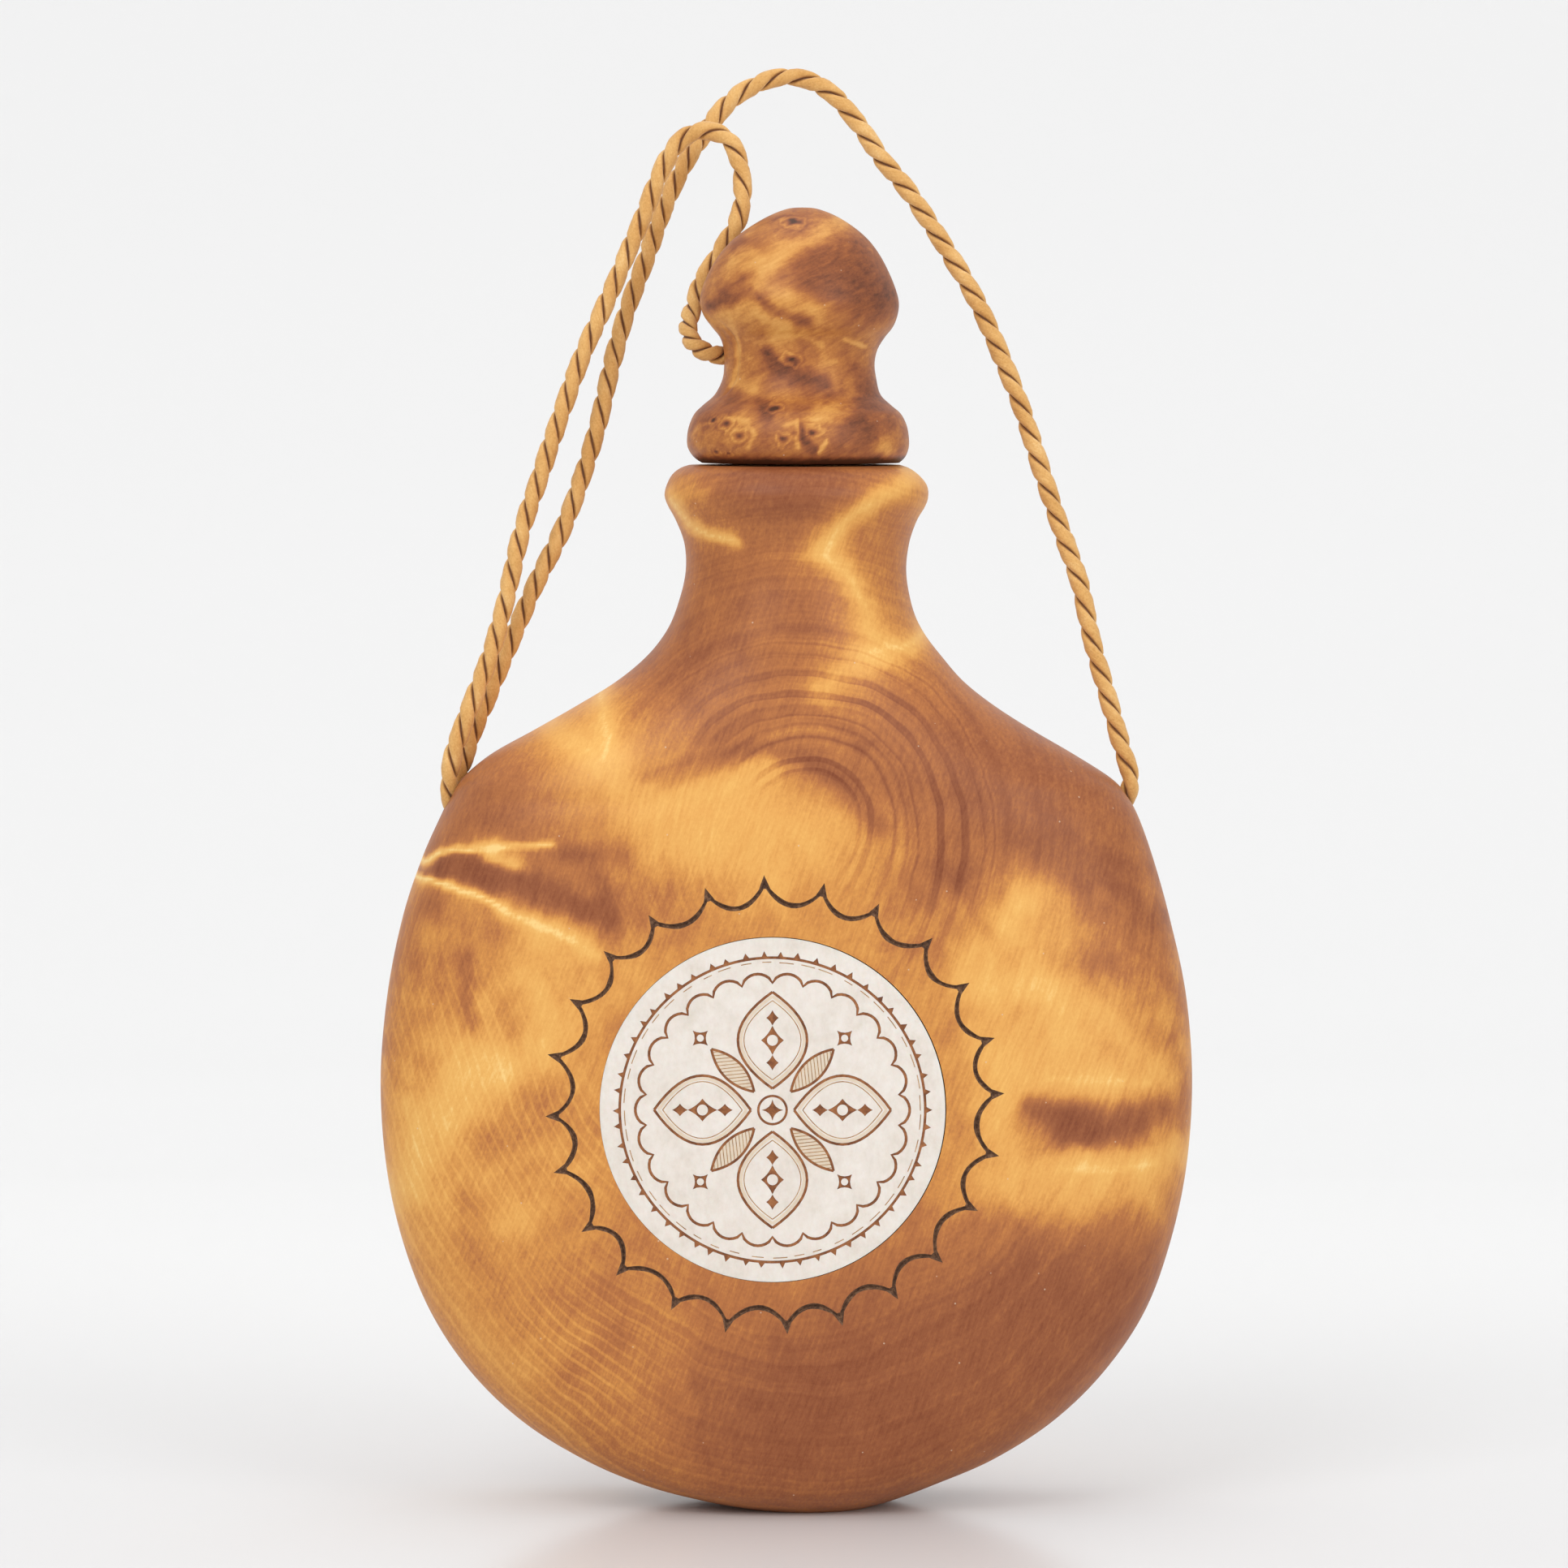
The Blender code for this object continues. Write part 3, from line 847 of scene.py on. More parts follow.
# Soft patches: (x, z, radius across, radius up, strength)
PATCHES = [
    (-8, 157, 11, 16, -0.13),
    (19, 163, 5, 8, -0.06),
    (-18, 143, 14, 9, -0.13),
    (30, 126, 26, 15, -0.16),
    (46, 118, 16, 14, -0.10),
    (52, 108, 14, 12, -0.08),
    (3, 173.5, 14, 5, -0.30),
    (-17.5, 172, 3, 2.5, 0.08),
    (-62, 72, 6, 16, 0.14),
    (52, 92.6, 4.5, 3, -0.11),
    (40.5, 85.5, 4, 2.2, -0.16),
    (56, 103, 7, 6, -0.12),
    (-50, 118, 12, 10, -0.18),
    (-36, 107, 16, 6, -0.12),
    (-34, 130, 9, 8, 0.18),
    (-6, 116, 20, 7, 0.22),
    (2, 108, 14, 6, 0.14),
    (4, 154, 5, 7, -0.12),
    (37, 92, 8, 11, 0.13),
    (30, 108, 9, 7, -0.10),
    (48, 79, 14, 8, 0.07),
    (46, 57, 18, 6, 0.14),
    (-54, 88, 12, 10, -0.05),
    (-44, 92, 8, 12, 0.12),
    (-56, 64, 8, 14, 0.14),
    (-44, 52, 12, 10, 0.02),
    (-30, 22, 22, 14, 0.08),
    (26, 27, 40, 22, -0.24),
    (50, 38, 18, 14, -0.15),
    (2, 14, 22, 14, -0.22),
    (-2, 74, 33, 30, 0.10),
    (-26, 88, 14, 12, 0.05),
]
# Thin strokes that stay sharp over the rest
GLINTS = [
    ([(14, 170.3), (9.7, 167.6), (7.9, 164.4), (6.5, 161.7), (11, 157.6), (13.3, 153.6)], 0.55, 0.10),
    (NECK_RIGHT, 0.6, 0.12),
    ([(-19.5, 170.5), (-16.4, 166.7), (-12.9, 164.9), (-8, 164.2)], 0.6, 0.16),
    ([(-31.4, 138.6), (-30.4, 135.1), (-29.4, 131.1), (-30.4, 127.7)], 0.55, 0.12),
    (UPPER_BOLT, 0.45, 0.30),
    (UPPER_TIP, 0.35, 0.22),
    (BOLT_FORK, 0.8, 0.16),
    (LOWER_BOLT, 0.45, 0.32),
    ([(-46.2, 102.4), (-40.3, 99.7), (-35.3, 97.4)], 0.5, 0.18),
    ([(46, 59.3), (54.2, 58.7), (62.3, 59.5)], 0.6, 0.10),
    ([(44, 74.4), (54.8, 74), (61, 73)], 0.6, 0.08),
]


# Middle of the growth rings (x, z)
HEART = (3.0, 116.0)
ARC_SPACING = 0.0015


def distance_to(points, x, z):
    """Distance of each place to a broken line."""
    best = np.full_like(x, 1e9)
    for (ax, az), (bx, bz) in zip(points, points[1:]):
        dx = bx - ax
        dz = bz - az
        t = np.clip(((x - ax) * dx + (z - az) * dz) / (dx * dx + dz * dz), 0, 1)
        best = np.minimum(best, np.hypot(x - ax - t * dx, z - az - t * dz))
    return best


def noise_field(mm, scale, seed):
    offset = Vector((seed * 11.3, seed * 5.7, seed * 3.1))
    return np.array([noise.noise(Vector(p) * scale + offset) for p in mm])


def octaves(mm, seed, *layers):
    """Sum of noise fields, each a (strength, scale), with seeds that count up from seed."""
    return sum(strength * noise_field(mm, scale, seed + i) for i, (strength, scale) in enumerate(layers))


def drawn_figure(x, z, patches, strokes, sharpness, halo):
    """Patches and strokes added up at each place, with a wide faint halo round each light stroke."""
    tone = np.zeros(len(x))
    for px, pz, rx, rz, strength in patches:
        tone += strength * np.exp(-((x - px) / rx) ** 2 - ((z - pz) / rz) ** 2)
    for points, width, strength in strokes:
        d = distance_to(points, x, z) / width
        tone += strength * np.exp(-sharpness * d * d)
        if strength > 0:
            tone += halo * strength * np.exp(-0.12 * d * d)
    return tone


def squeezed(tone, low=0.30, high=0.58, room=0.27):
    """Tone with its lightest and darkest ends flattened, so that features may overlap."""
    over = np.maximum(tone - high, 0)
    under = np.maximum(low - tone, 0)
    middle = np.clip(tone, low, high)
    return middle + room * (1 - np.exp(-over / room)) - 0.6 * room * (1 - np.exp(-under / (0.6 * room)))


def glints_at(x, z):
    """Strength of the strongest glint at each place."""
    tone = np.zeros(len(x))
    for points, width, strength in GLINTS:
        d = distance_to(points, x, z) / width
        tone = np.maximum(tone, strength * np.exp(-d * d))
    return tone


def front_of(mm):
    """1 on the front of the body, 0 on its back."""
    return 1 - smoothstep(mm[:, 1], -3.0, 8.0)


def clouding_of(mm):
    """How cloudy the wood is: strongly about the middle of the front, and on the back."""
    middle = smoothstep(mm[:, 2], 38, 60) * (1 - smoothstep(mm[:, 2], 104, 120))
    return 1 - 0.65 * front_of(mm) * (1 - middle)


def figure_of(mm):
    """Light and dark of the birch figure at each place, 0 to 1."""
    warp = octaves(mm, 1, (1.5, 0.09), (0.5, 0.35))
    lift = octaves(mm, 3, (1.5, 0.09), (0.5, 0.35))
    x = mm[:, 0] + warp
    y = mm[:, 1]
    z = mm[:, 2] + lift
    drawn = drawn_figure(x, z, PATCHES, STREAKS + SHADES, 0.7, 0.25)
    slant = np.stack([0.45 * (x + 0.7 * z), y, 1.5 * (z - 0.5 * x)], 1)
    bend = 9 * noise_field(mm, 0.022, 6)
    ridge = 1 - 3.2 * np.abs(noise_field(slant + bend[:, None], 0.03, 5))
    where = smoothstep(noise_field(mm, 0.028, 14), -0.15, 0.25)
    back = 0.26 * where * smoothstep(ridge, 0.2, 1.0) + 0.34 * noise_field(slant, 0.028, 7) - 0.04
    mottle = octaves(np.stack([x, y, z], 1), 8, (0.08, 0.11), (0.09, 0.27))
    front = front_of(mm)
    clouding = clouding_of(mm)
    tone = squeezed(0.46 + front * drawn + (1 - front) * back + clouding * mottle)
    drift = noise_field(np.stack([x + 0.8 * z, y, 0.45 * (z - 0.8 * x)], 1), 0.16, 10)
    glints = glints_at(mm[:, 0] + 0.35 * warp, mm[:, 2] + 0.35 * lift)
    return tone + 0.11 * clouding * drift + front * glints


def growth_of(mm):
    """Distance from the heart of the wood, whose layers show as rings, in metres."""
    x = mm[:, 0] - HEART[0]
    rise = mm[:, 2] - HEART[1]
    stretch = np.where(rise > 0, 1.0, 0.70 + 0.3 * np.exp(np.minimum(rise, 0) / 12.0))
    reach = np.sqrt(x ** 2 + (rise * stretch) ** 2 + 7.0 ** 2)
    return (reach + octaves(mm, 12, (1.6, 0.05), (0.4, 0.2))) * MM


def ring_masks(mm):
    """Where the broad dark bands, the fine light arcs and the faint rings show."""
    x = mm[:, 0] - HEART[0]
    rise = mm[:, 2] - HEART[1]
    reach = np.hypot(x, rise)
    turn = np.degrees(np.arctan2(rise, x))
    patchy = 0.75 + 0.8 * noise_field(mm, 0.06, 15)
    front = 1 - smoothstep(mm[:, 1], 4.0, 14.0)
    bands = smoothstep(reach, 6, 11) * (1 - smoothstep(reach, 26, 40))
    bands *= smoothstep(turn, -80, -40) * (1 - smoothstep(turn, 120, 155))
    arcs = smoothstep(turn, -175, -150) * (1 - smoothstep(turn, -115, -95)) * smoothstep(reach, 50, 62)
    arcs += 0.35 * (1 - smoothstep(mm[:, 2], 30, 45))
    inside_ring = 1 - smoothstep(np.hypot(mm[:, 0] - RING_X, mm[:, 2] - RING_Z), 33, 38)
    left = smoothstep(-mm[:, 0], 25, 40) * smoothstep(mm[:, 2], 30, 50)
    rings = smoothstep(reach, 5, 20) * (1 - front * (0.75 * inside_ring + 0.5 * left))
    return bands * patchy * front, arcs * patchy * front, rings


def birch_material():
    n = Nodes("curly_birch")
    growth = n.attribute("growth")
    fibre = n.noise(n.position((1.0, 0.5, 0.10), (0.0, -0.35, 0.0)), 1900.0, 3.0, 0.7)
    cloud = n.noise(n.position((1.0, 1.0, 0.5), (0.0, -0.5, 0.0)), 130.0, 6.0, 0.66, 0.5)
    grain = n.noise(n.position(), 1600.0, 3.0, 0.65)
    broad_ring = n.noise_1d(growth, 420.0, 2.0, 0.6)
    fine_ring = n.noise_1d(growth, 1500.0, 1.0, 0.5)
    layers = n.total(n.scaled(broad_ring, 0.13, 0.5), n.scaled(fine_ring, 0.09, 0.5))
    late = n.scaled(n.span(n.noise_1d(growth, 560.0, 1.5, 0.6), 0.50, 0.64), n.attribute("bands"))
    wave = n.math("SINE", n.scaled(growth, 2 * math.pi / ARC_SPACING))
    arc = n.scaled(n.span(wave, 0.3, 1.0), n.attribute("arcs"))
    tone = n.total(
        n.attribute("figure"), n.scaled(fibre, 0.32, 0.5), n.scaled(cloud, n.attribute("cloud_range"), 0.5),
        n.scaled(grain, 0.22, 0.5), n.scaled(layers, n.attribute("rings")), n.scaled(late, -0.14),
        n.scaled(arc, 0.07),
    )
    colour = n.ramp(tone, [
        (0.06, (128, 66, 38)), (0.25, (155, 91, 55)), (0.42, (185, 116, 64)), (0.56, (212, 144, 72)),
        (0.70, (230, 166, 86)), (0.86, (240, 184, 100)), (1.0, (250, 210, 134)),
    ])
    specks = n.span(n.voronoi(n.position(), 240.0), 0.022, 0.045, 0.55, 0.0)
    colour = n.mix(specks, colour, (226, 206, 180))
    rough = n.span(grain, 0.3, 0.7, 0.40, 0.50)
    height = n.total(n.scaled(fibre, 0.5), n.scaled(grain, 0.5))
    return n.set(
        Base_Color=colour, Roughness=rough, Normal=n.bump(height, 0.00004, 0.6), Specular_IOR_Level=0.28,
    )


def add_body():
    """Body with its hollow, pockets, cord bores and carved scallops."""
    # Painted shade for the recesses: dark brown on the cut faces of the grooves, the nicks and the disc's
    # pocket wall.
    chip = recess_shade_material()
    raw = raw_wood_material()
    body = closed_object("flask_wood", [body_rings()], birch_material())
    even = [groove_prism(k) for k in range(0, SCALLOPS, 2)]
    odd = [groove_prism(k) for k in range(1, SCALLOPS, 2)]
    nicks = [cusp_nick(k) for k in range(SCALLOPS)]
    subtract(body, [
        hollow_cutter(raw),
        closed_object("cut_even", even, chip, smooth=False),
        closed_object("cut_odd", odd, chip, smooth=False),
        closed_object("cut_nicks", nicks, chip, smooth=False),
        disc_cutter("cut_pocket", DISC_POCKET_R, -30.0, DISC_FLOOR_Y, 160, chip),
        disc_cutter("cut_board", BOARD_POCKET_R, -22.0, BOARD_FLOOR_Y, 96, raw),
        disc_cutter("cut_opening", OPENING_R, -18.0, -8.0, 80, raw),
        cord_bore("cut_strap_right", STRAP_BORE_RIGHT + STRAP_ARCH[:2], raw),
        cord_bore("cut_strap_left", (STRAP_ARCH[-2:] + STRAP_BORE_LEFT)[::-1], raw),
        cord_bore("cut_tether", TETHER_ANCHOR + TETHER_RUN[:2], raw),
    ])
    mesh = body.data
    mesh.set_sharp_from_angle(angle=math.radians(35))
    mm = vertices_mm(mesh)
    bands, arcs, rings = ring_masks(mm)
    set_attribute(mesh, "figure", figure_of(mm))
    set_attribute(mesh, "growth", growth_of(mm))
    set_attribute(mesh, "cloud_range", 0.30 * clouding_of(mm))
    set_attribute(mesh, "rings", rings)
    set_attribute(mesh, "bands", bands)
    set_attribute(mesh, "arcs", arcs)
    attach(body, "flask")
    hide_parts("flask_body")


add_body()


# ---------------------------------------------------------------- engraved antler disc

DISC_R = 28.8
DISC_SHIFT = (-0.07, -0.02)
DISC_BACK_Y = -20.06
INK_DEPTH = 0.11
STAR_REACH = 0.062
FILL_PITCH = 0.055
# What a shape of the engraving is, which is also the number of its material
BLANK, DARK, LIGHT, TINT = range(4)


class Engraving:
    """Flat shapes for the triangulation.  Right and up, in radii of the disc."""

    def __init__(self):
        self.verts = []
        self.faces = []
        self.kinds = []

    def area(self, points, kind):
        turn = sum(a[0] * b[1] - b[0] * a[1] for a, b in zip(points, points[1:] + points[:1]))
        if turn < 0:
            points = points[::-1]
        first = len(self.verts)
        self.verts.extend(points)
        self.faces.append(list(range(first, first + len(points))))
        self.kinds.append(kind)

    def line(self, points, width, kind, closed=False):
        """Stroke of even width along a polyline, one four-sided bit per stretch."""
        count = len(points)
        sides = []
        for i, (x, y) in enumerate(points):
            before = points[i - 1] if i or closed else points[i]
            after = points[(i + 1) % count] if i + 1 < count or closed else points[i]
            dx, dy = after[0] - before[0], after[1] - before[1]
            size = math.hypot(dx, dy)
            nx, ny = -dy / size * width / 2, dx / size * width / 2
            sides.append(((x + nx, y + ny), (x - nx, y - ny)))
        for i in range(count if closed else count - 1):
            (a, b), (c, d) = sides[i], sides[(i + 1) % count]
            self.area([a, b, d, c], kind)


def polar(radius, angle, x=0, y=0):
    return x + radius * math.cos(angle), y + radius * math.sin(angle)


def circle_points(x, y, radius, count):
    return [polar(radius, 2 * math.pi * k / count, x, y) for k in range(count)]


def hollow_star(x, y, corners, waist, steps=4):
    """Outline with sharp corners and sides drawn in towards its centre."""
    outline = []
    for corner, after in zip(corners, corners[1:] + corners[:1]):
        bend = [(a + b) / 2 * waist for a, b in zip(corner, after)]
        for i in range(steps):
            dx, dy = quadratic(corner, bend, after, i / steps)
            outline.append((x + dx, y + dy))
    return outline


def four_corners(length, width):
    return [(length, 0), (0, width), (-length, 0), (0, -width)]


def arm_point(k, u, v):
    """Point u out along arm k and v to its side."""
    a = math.pi / 2 * k
    return (u * math.cos(a) - v * math.sin(a), u * math.sin(a) + v * math.cos(a))


def engrave_border(e):
    """Toothed line, dashes and a scalloped line, one inside the other."""
    rng = random.Random(11)
    e.line(circle_points(0, 0, 0.884, 180), 0.0155, DARK, closed=True)
    teeth = 54
    for k in range(teeth):
        a = 2 * math.pi * (k + rng.uniform(-0.12, 0.12)) / teeth
        half = rng.uniform(0.020, 0.025)
        out = 0.892 + rng.uniform(0.026, 0.033)
        e.area([polar(0.886, a - half), polar(0.886, a + half), polar(out, a)], DARK)
    dashes = 44
    for k in range(dashes):
        a = 2 * math.pi * (k + rng.uniform(-0.1, 0.1)) / dashes
        long = rng.uniform(0.06, 0.105)
        r = 0.858 + rng.uniform(-0.003, 0.003)
        e.line([polar(r, a + long * t) for t in (0, 0.5, 1)], 0.0055, LIGHT)
    waves = 26
    steps = 9
    ring = []
    for k in range(waves):
        for i in range(steps):
            t = i / steps
            r = 0.738 + 0.056 * math.sin(math.pi * t) ** 0.62
            ring.append(polar(r, 2 * math.pi * (k + t + 0.5) / waves))
    e.line(ring, 0.0165, DARK, closed=True)


def leaf_half(t, half):
    """Half width of a pointed leaf at t, 0 to 1, of its length."""
    return half * 4 * t * (1 - t)


def leaf_rows(near, far, half):
    """One side of a pointed leaf along an arm, as (out, aside)."""
    return [(near + (far - near) * t, leaf_half(t, half)) for t in (i / 16 for i in range(17))]


def engrave_petals(e):
    """Four plain pointed petals along the arms, double-lined, each with three diamonds inside."""
    outer = leaf_rows(0.125, 0.685, 0.200)
    inner = leaf_rows(0.175, 0.635, 0.165)
    between = [((u + p) / 2, (v + q) / 2) for (u, v), (p, q) in zip(outer, inner)]
    for k in range(4):
        for side in (1, -1):
            for rows, width, kind in ((between, 0.018, TINT), (outer, 0.0155, DARK), (inner, 0.0055, LIGHT)):
                e.line([arm_point(k, u, v * side) for u, v in rows], width, kind)
        for u, length, width in ((0.275, 0.045, 0.036), (0.405, 0.085, 0.066), (0.535, 0.045, 0.036)):
            corners = [arm_point(k, *c) for c in four_corners(length, width)]
            x, y = arm_point(k, u, 0)
            e.area(hollow_star(x, y, corners, 0.72), DARK)
            if length > 0.05:
                e.area(circle_points(x, y, 0.032, 16), BLANK)


def engrave_leaves(e):
    """Four hatched leaves between the petals, with a small star beyond each."""
    near, far, half = 0.15, 0.50, 0.058

    def width(u):
        return leaf_half(min(max((u - near) / (far - near), 0.0), 1.0), half)

    for k in range(4):
        rows = leaf_rows(near, far, half)
        upper, lower = ([arm_point(k + 0.5, u, v * side) for u, v in rows] for side in (1, -1))
        e.area(upper + lower[-2:0:-1], TINT)
        e.line(upper, 0.015, DARK)
        e.line(lower, 0.015, DARK)
        for i in range(13):
            u0 = near + (far - near) * (i + 0.6) / 13.6
            inside = [
                (u0 + 0.8 * s, s) for s in np.linspace(-half, half, 29)
                if abs(s) < width(u0 + 0.8 * s) - 0.004
            ]
            if len(inside) > 2:
                e.line([arm_point(k + 0.5, *inside[end]) for end in (0, -1)], 0.0045, LIGHT)
        corners = [arm_point(k + 0.5, *c) for c in four_corners(STAR_REACH, STAR_REACH)]
        x, y = arm_point(k + 0.5, 0.59, 0)
        e.area(hollow_star(x, y, corners, 0.45), DARK)
        e.area(circle_points(x, y, 0.021, 12), BLANK)


def engrave_centre(e):
    """Small ring with a four-pointed star in it."""
    e.line(circle_points(0, 0, 0.082, 40), 0.014, DARK, closed=True)
    e.area(hollow_star(0, 0, four_corners(STAR_REACH, STAR_REACH), 0.3), DARK)


def shown(owners, kinds):
    """What a triangle shows, from the shapes it lies in: a hole counts if it was drawn after the ink."""
    holes = [i for i in owners if i and kinds[i] == BLANK]
    inked = [i for i in owners if kinds[i] in (DARK, LIGHT)]
    if holes and max(holes) > max(inked, default=-1):
        return BLANK
    found = [kinds[i] for i in owners]
    return next((kind for kind in (DARK, LIGHT, TINT) if kind in found), BLANK)


def flat_engraving():
    """Points and triangles of the whole disc, and what each triangle shows."""
    e = Engraving()
    e.area(circle_points(0, 0, 1.0, 200), BLANK)
    engrave_border(e)
    engrave_petals(e)
    engrave_leaves(e)
    engrave_centre(e)
    for j in range(-18, 19):
        for i in range(-18, 19):
            x = (i + 0.5 * (j % 2)) * FILL_PITCH
            y = j * FILL_PITCH * 0.866
            if math.hypot(x, y) < 0.97:
                e.verts.append((x, y))
    points, _, tris, _, _, owners = delaunay_2d_cdt([Vector(p) for p in e.verts], [], e.faces, 1, 1e-6)
    return points, tris, [shown(group, e.kinds) for group in owners]


def antler_mesh():
    """Closed disc whose front follows the body's face, with the engraved lines sunk into it."""
    points, tris, kinds = flat_engraving()
    xs = DISC_X + DISC_SHIFT[0] + DISC_R * np.array([p.x for p in points])
    zs = DISC_Z + DISC_SHIFT[1] + DISC_R * np.array([p.y for p in points])
    ys = -body_depth(xs, zs)
    verts = list(zip(xs, ys, zs))
    faces = []
    slots = []
    edges = {}

    def copied(v, copies, y):
        """Number of the copy of point v at depth y, made when it is first asked for."""
        if v not in copies:
            copies[v] = len(verts)
            verts.append((xs[v], y, zs[v]))
        return copies[v]

    sunk = {}
    for tri, kind in zip(tris, kinds):
        low = kind in (DARK, LIGHT)
        faces.append([copied(v, sunk, ys[v] + INK_DEPTH) if low else v for v in tri])
        slots.append(kind)
        for a, b in zip(tri, tri[1:] + tri[:1]):
            edges[(a, b)] = (low, kind)
    back = {}
    for (a, b), (low, _) in edges.items():
        if (b, a) not in edges:
            faces.append([b, a, copied(a, back, DISC_BACK_Y), copied(b, back, DISC_BACK_Y)])
            slots.append(BLANK)
        elif not low and edges[(b, a)][0]:
            faces.append([b, a, sunk[a], sunk[b]])
            slots.append(edges[(b, a)][1])
    around = sorted(back, key=lambda v: math.atan2(zs[v] - DISC_Z, xs[v] - DISC_X))
    faces.append([back[v] for v in around])
    slots.append(BLANK)
    mesh = bpy.data.meshes.new("antler_disc")
    mesh.from_pydata([tuple(c * MM for c in v) for v in verts], [], faces)
    mesh.polygons.foreach_set("material_index", slots)
    fix_normals(mesh)
    mesh.shade_smooth()
    mesh.set_sharp_from_angle(angle=math.radians(40))
    return mesh


def antler_material(name, tint=None):
    n = Nodes(name)
    cloud = n.noise(n.position(), 260.0, 4.0, 0.6)
    fleck = n.noise(n.position((1.0, 1.0, 0.6)), 1300.0, 3.0, 0.65)
    tone = n.total(n.scaled(cloud, 0.6), n.scaled(fleck, 0.4))
    colour = n.ramp(tone, [(0.30, (222, 212, 200)), (0.48, (232, 223, 213)), (0.66, (239, 232, 224))])
    if tint:
        colour = n.mix(0.4, colour, tint)
    rough = n.span(fleck, 0.3, 0.7, 0.34, 0.5)
    return n.set(
        Base_Color=colour, Roughness=rough, Normal=n.bump(fleck, 0.00003, 0.5),
        Subsurface_Weight=0.12, Subsurface_Scale=0.002, Specular_IOR_Level=0.45,
    )


def ink_material(name, dark, mid, pale):
    n = Nodes(name)
    worn = n.noise(n.position(), 700.0, 3.0, 0.7)
    return n.set(Base_Color=n.ramp(worn, [(0.32, dark), (0.5, mid), (0.68, pale)]), Roughness=0.65)


def add_disc():
    """Antler disc, whose materials follow the order of BLANK, DARK, LIGHT and TINT."""
    disc = new_object(
        "antler_disc", antler_mesh(), antler_material("antler"),
        ink_material("bark_ink", (112, 62, 30), (146, 88, 46), (172, 112, 64)),
        ink_material("pale_ink", (176, 128, 76), (200, 156, 100), (222, 190, 146)),
        antler_material("antler_tinted", (214, 180, 124)),
    )
    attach(disc, "flask")
    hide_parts("antler_medallion")


add_disc()


# ---------------------------------------------------------------- burl stopper, cork and plain parts

HEAD_SIDES = 320
HEAD_STEP = 0.32
CREASE_ANGLE = math.radians(-60)
CREASE_DEPTH = 0.035
CREASE_WIDTH = 0.04
DOWEL_GAP = 0.3

# Figure of the burl, as on the body
HEAD_STREAKS = [
    ([(9.5, 217.3), (5.9, 215.4), (0.8, 212.5), (-3.6, 209.4), (-5.5, 206.8)], 1.3, 0.30),
    ([(-1, 213.6), (-6, 210.5), (-9.5, 209)], 1.6, 0.14),
    ([(-5.2, 203), (-2.3, 200.5), (0.2, 199.9)], 1.1, 0.26),
    ([(-1.1, 204.9), (3.4, 203.7), (5.9, 201.8)], 1.6, 0.24),
    ([(-12, 200.9), (-8, 202)], 1.4, 0.22),
    ([(16.8, 200.5), (14.8, 198.3)], 1.4, 0.18),
    ([(10.3, 198), (13.5, 196.6)], 0.35, 0.45),
    ([(-9.3, 201), (-8.2, 197.6), (-8, 194), (-9, 190)], 0.4, 0.34),
    ([(-4, 197), (-1, 198.2), (3, 198.1), (6, 197)], 0.5, 0.16),
    ([(-2, 188.4), (1.5, 188.2), (5.3, 186.9)], 1.0, 0.10),
    ([(-8, 190.5), (-4, 188.4)], 1.1, 0.20),
    ([(-9.6, 184.6), (-6.6, 184.2), (-5.2, 182), (-6.6, 179.8)], 0.35, 0.22),
    ([(-0.2, 183.6), (2.0, 184.2), (3.6, 184.9), (7.6, 184.4)], 0.35, 0.18),
    ([(-15.5, 181.8), (-14.4, 183.4), (-12.6, 183.6)], 0.35, 0.18),
    ([(5.5, 185.4), (9.7, 186)], 1.3, 0.26),
    ([(1.8, 184.4), (2.1, 182), (1.9, 179.6)], 0.35, 0.42),
    ([(6.9, 180.7), (5.4, 179)], 0.28, 0.7),
    ([(-14.5, 180), (-13, 178.9)], 1.0, 0.12),
    ([(17, 180), (16.4, 179.6)], 1.2, 0.34),
    ([(-12.5, 203.4), (-8.3, 204.5), (-6.1, 206.2)], 0.8, -0.32),
    ([(-10.2, 205.6), (-7.4, 207.8), (-5.2, 208.4)], 0.9, -0.28),
    ([(-9, 213), (-7.4, 214.4)], 1.0, -0.22),
    ([(-4.6, 213.4), (-2.6, 212.6)], 1.1, -0.18),
    ([(-4.5, 204.4), (-2.3, 202.4), (0.4, 201.4), (4, 200.4)], 0.9, -0.28),
    ([(-3.3, 195.8), (-1.7, 193), (1.5, 191.6), (6.5, 190.6)], 1.1, -0.40),
    ([(-3.9, 187.4), (-3.4, 185)], 1.1, -0.28),
    ([(2.3, 184), (2.8, 181), (4.8, 179.2)], 0.7, -0.36),
    ([(12, 192), (14, 188.5)], 2.0, -0.16),
]
HEAD_PATCHES = [
    (10, 208, 7, 6.5, -0.30),
    (16, 204, 4, 5, -0.22),
    (3, 208.5, 3, 2.5, -0.12),
    (5, 212, 4, 3, -0.06),
    (-5, 211, 4, 4, 0.10),
    (0, 200, 8, 4, 0.12),
    (8, 193, 6, 3, 0.06),
    (4.5, 187.5, 3, 2.5, -0.14),
    (-5, 205, 9, 9, 0.05),
    (0, 180, 20, 3, -0.08),
    (12, 184, 4, 4, -0.26),
    (17, 186, 4, 6, -0.12),
    (-9, 182.4, 3.6, 2.8, 0.20),
    (-0.6, 181.6, 2.4, 2.0, 0.20),
    (5.2, 183, 2.4, 2.2, 0.20),
    (-14, 185, 3, 3, -0.14),
    (-9, 187, 3, 2, -0.12),
]
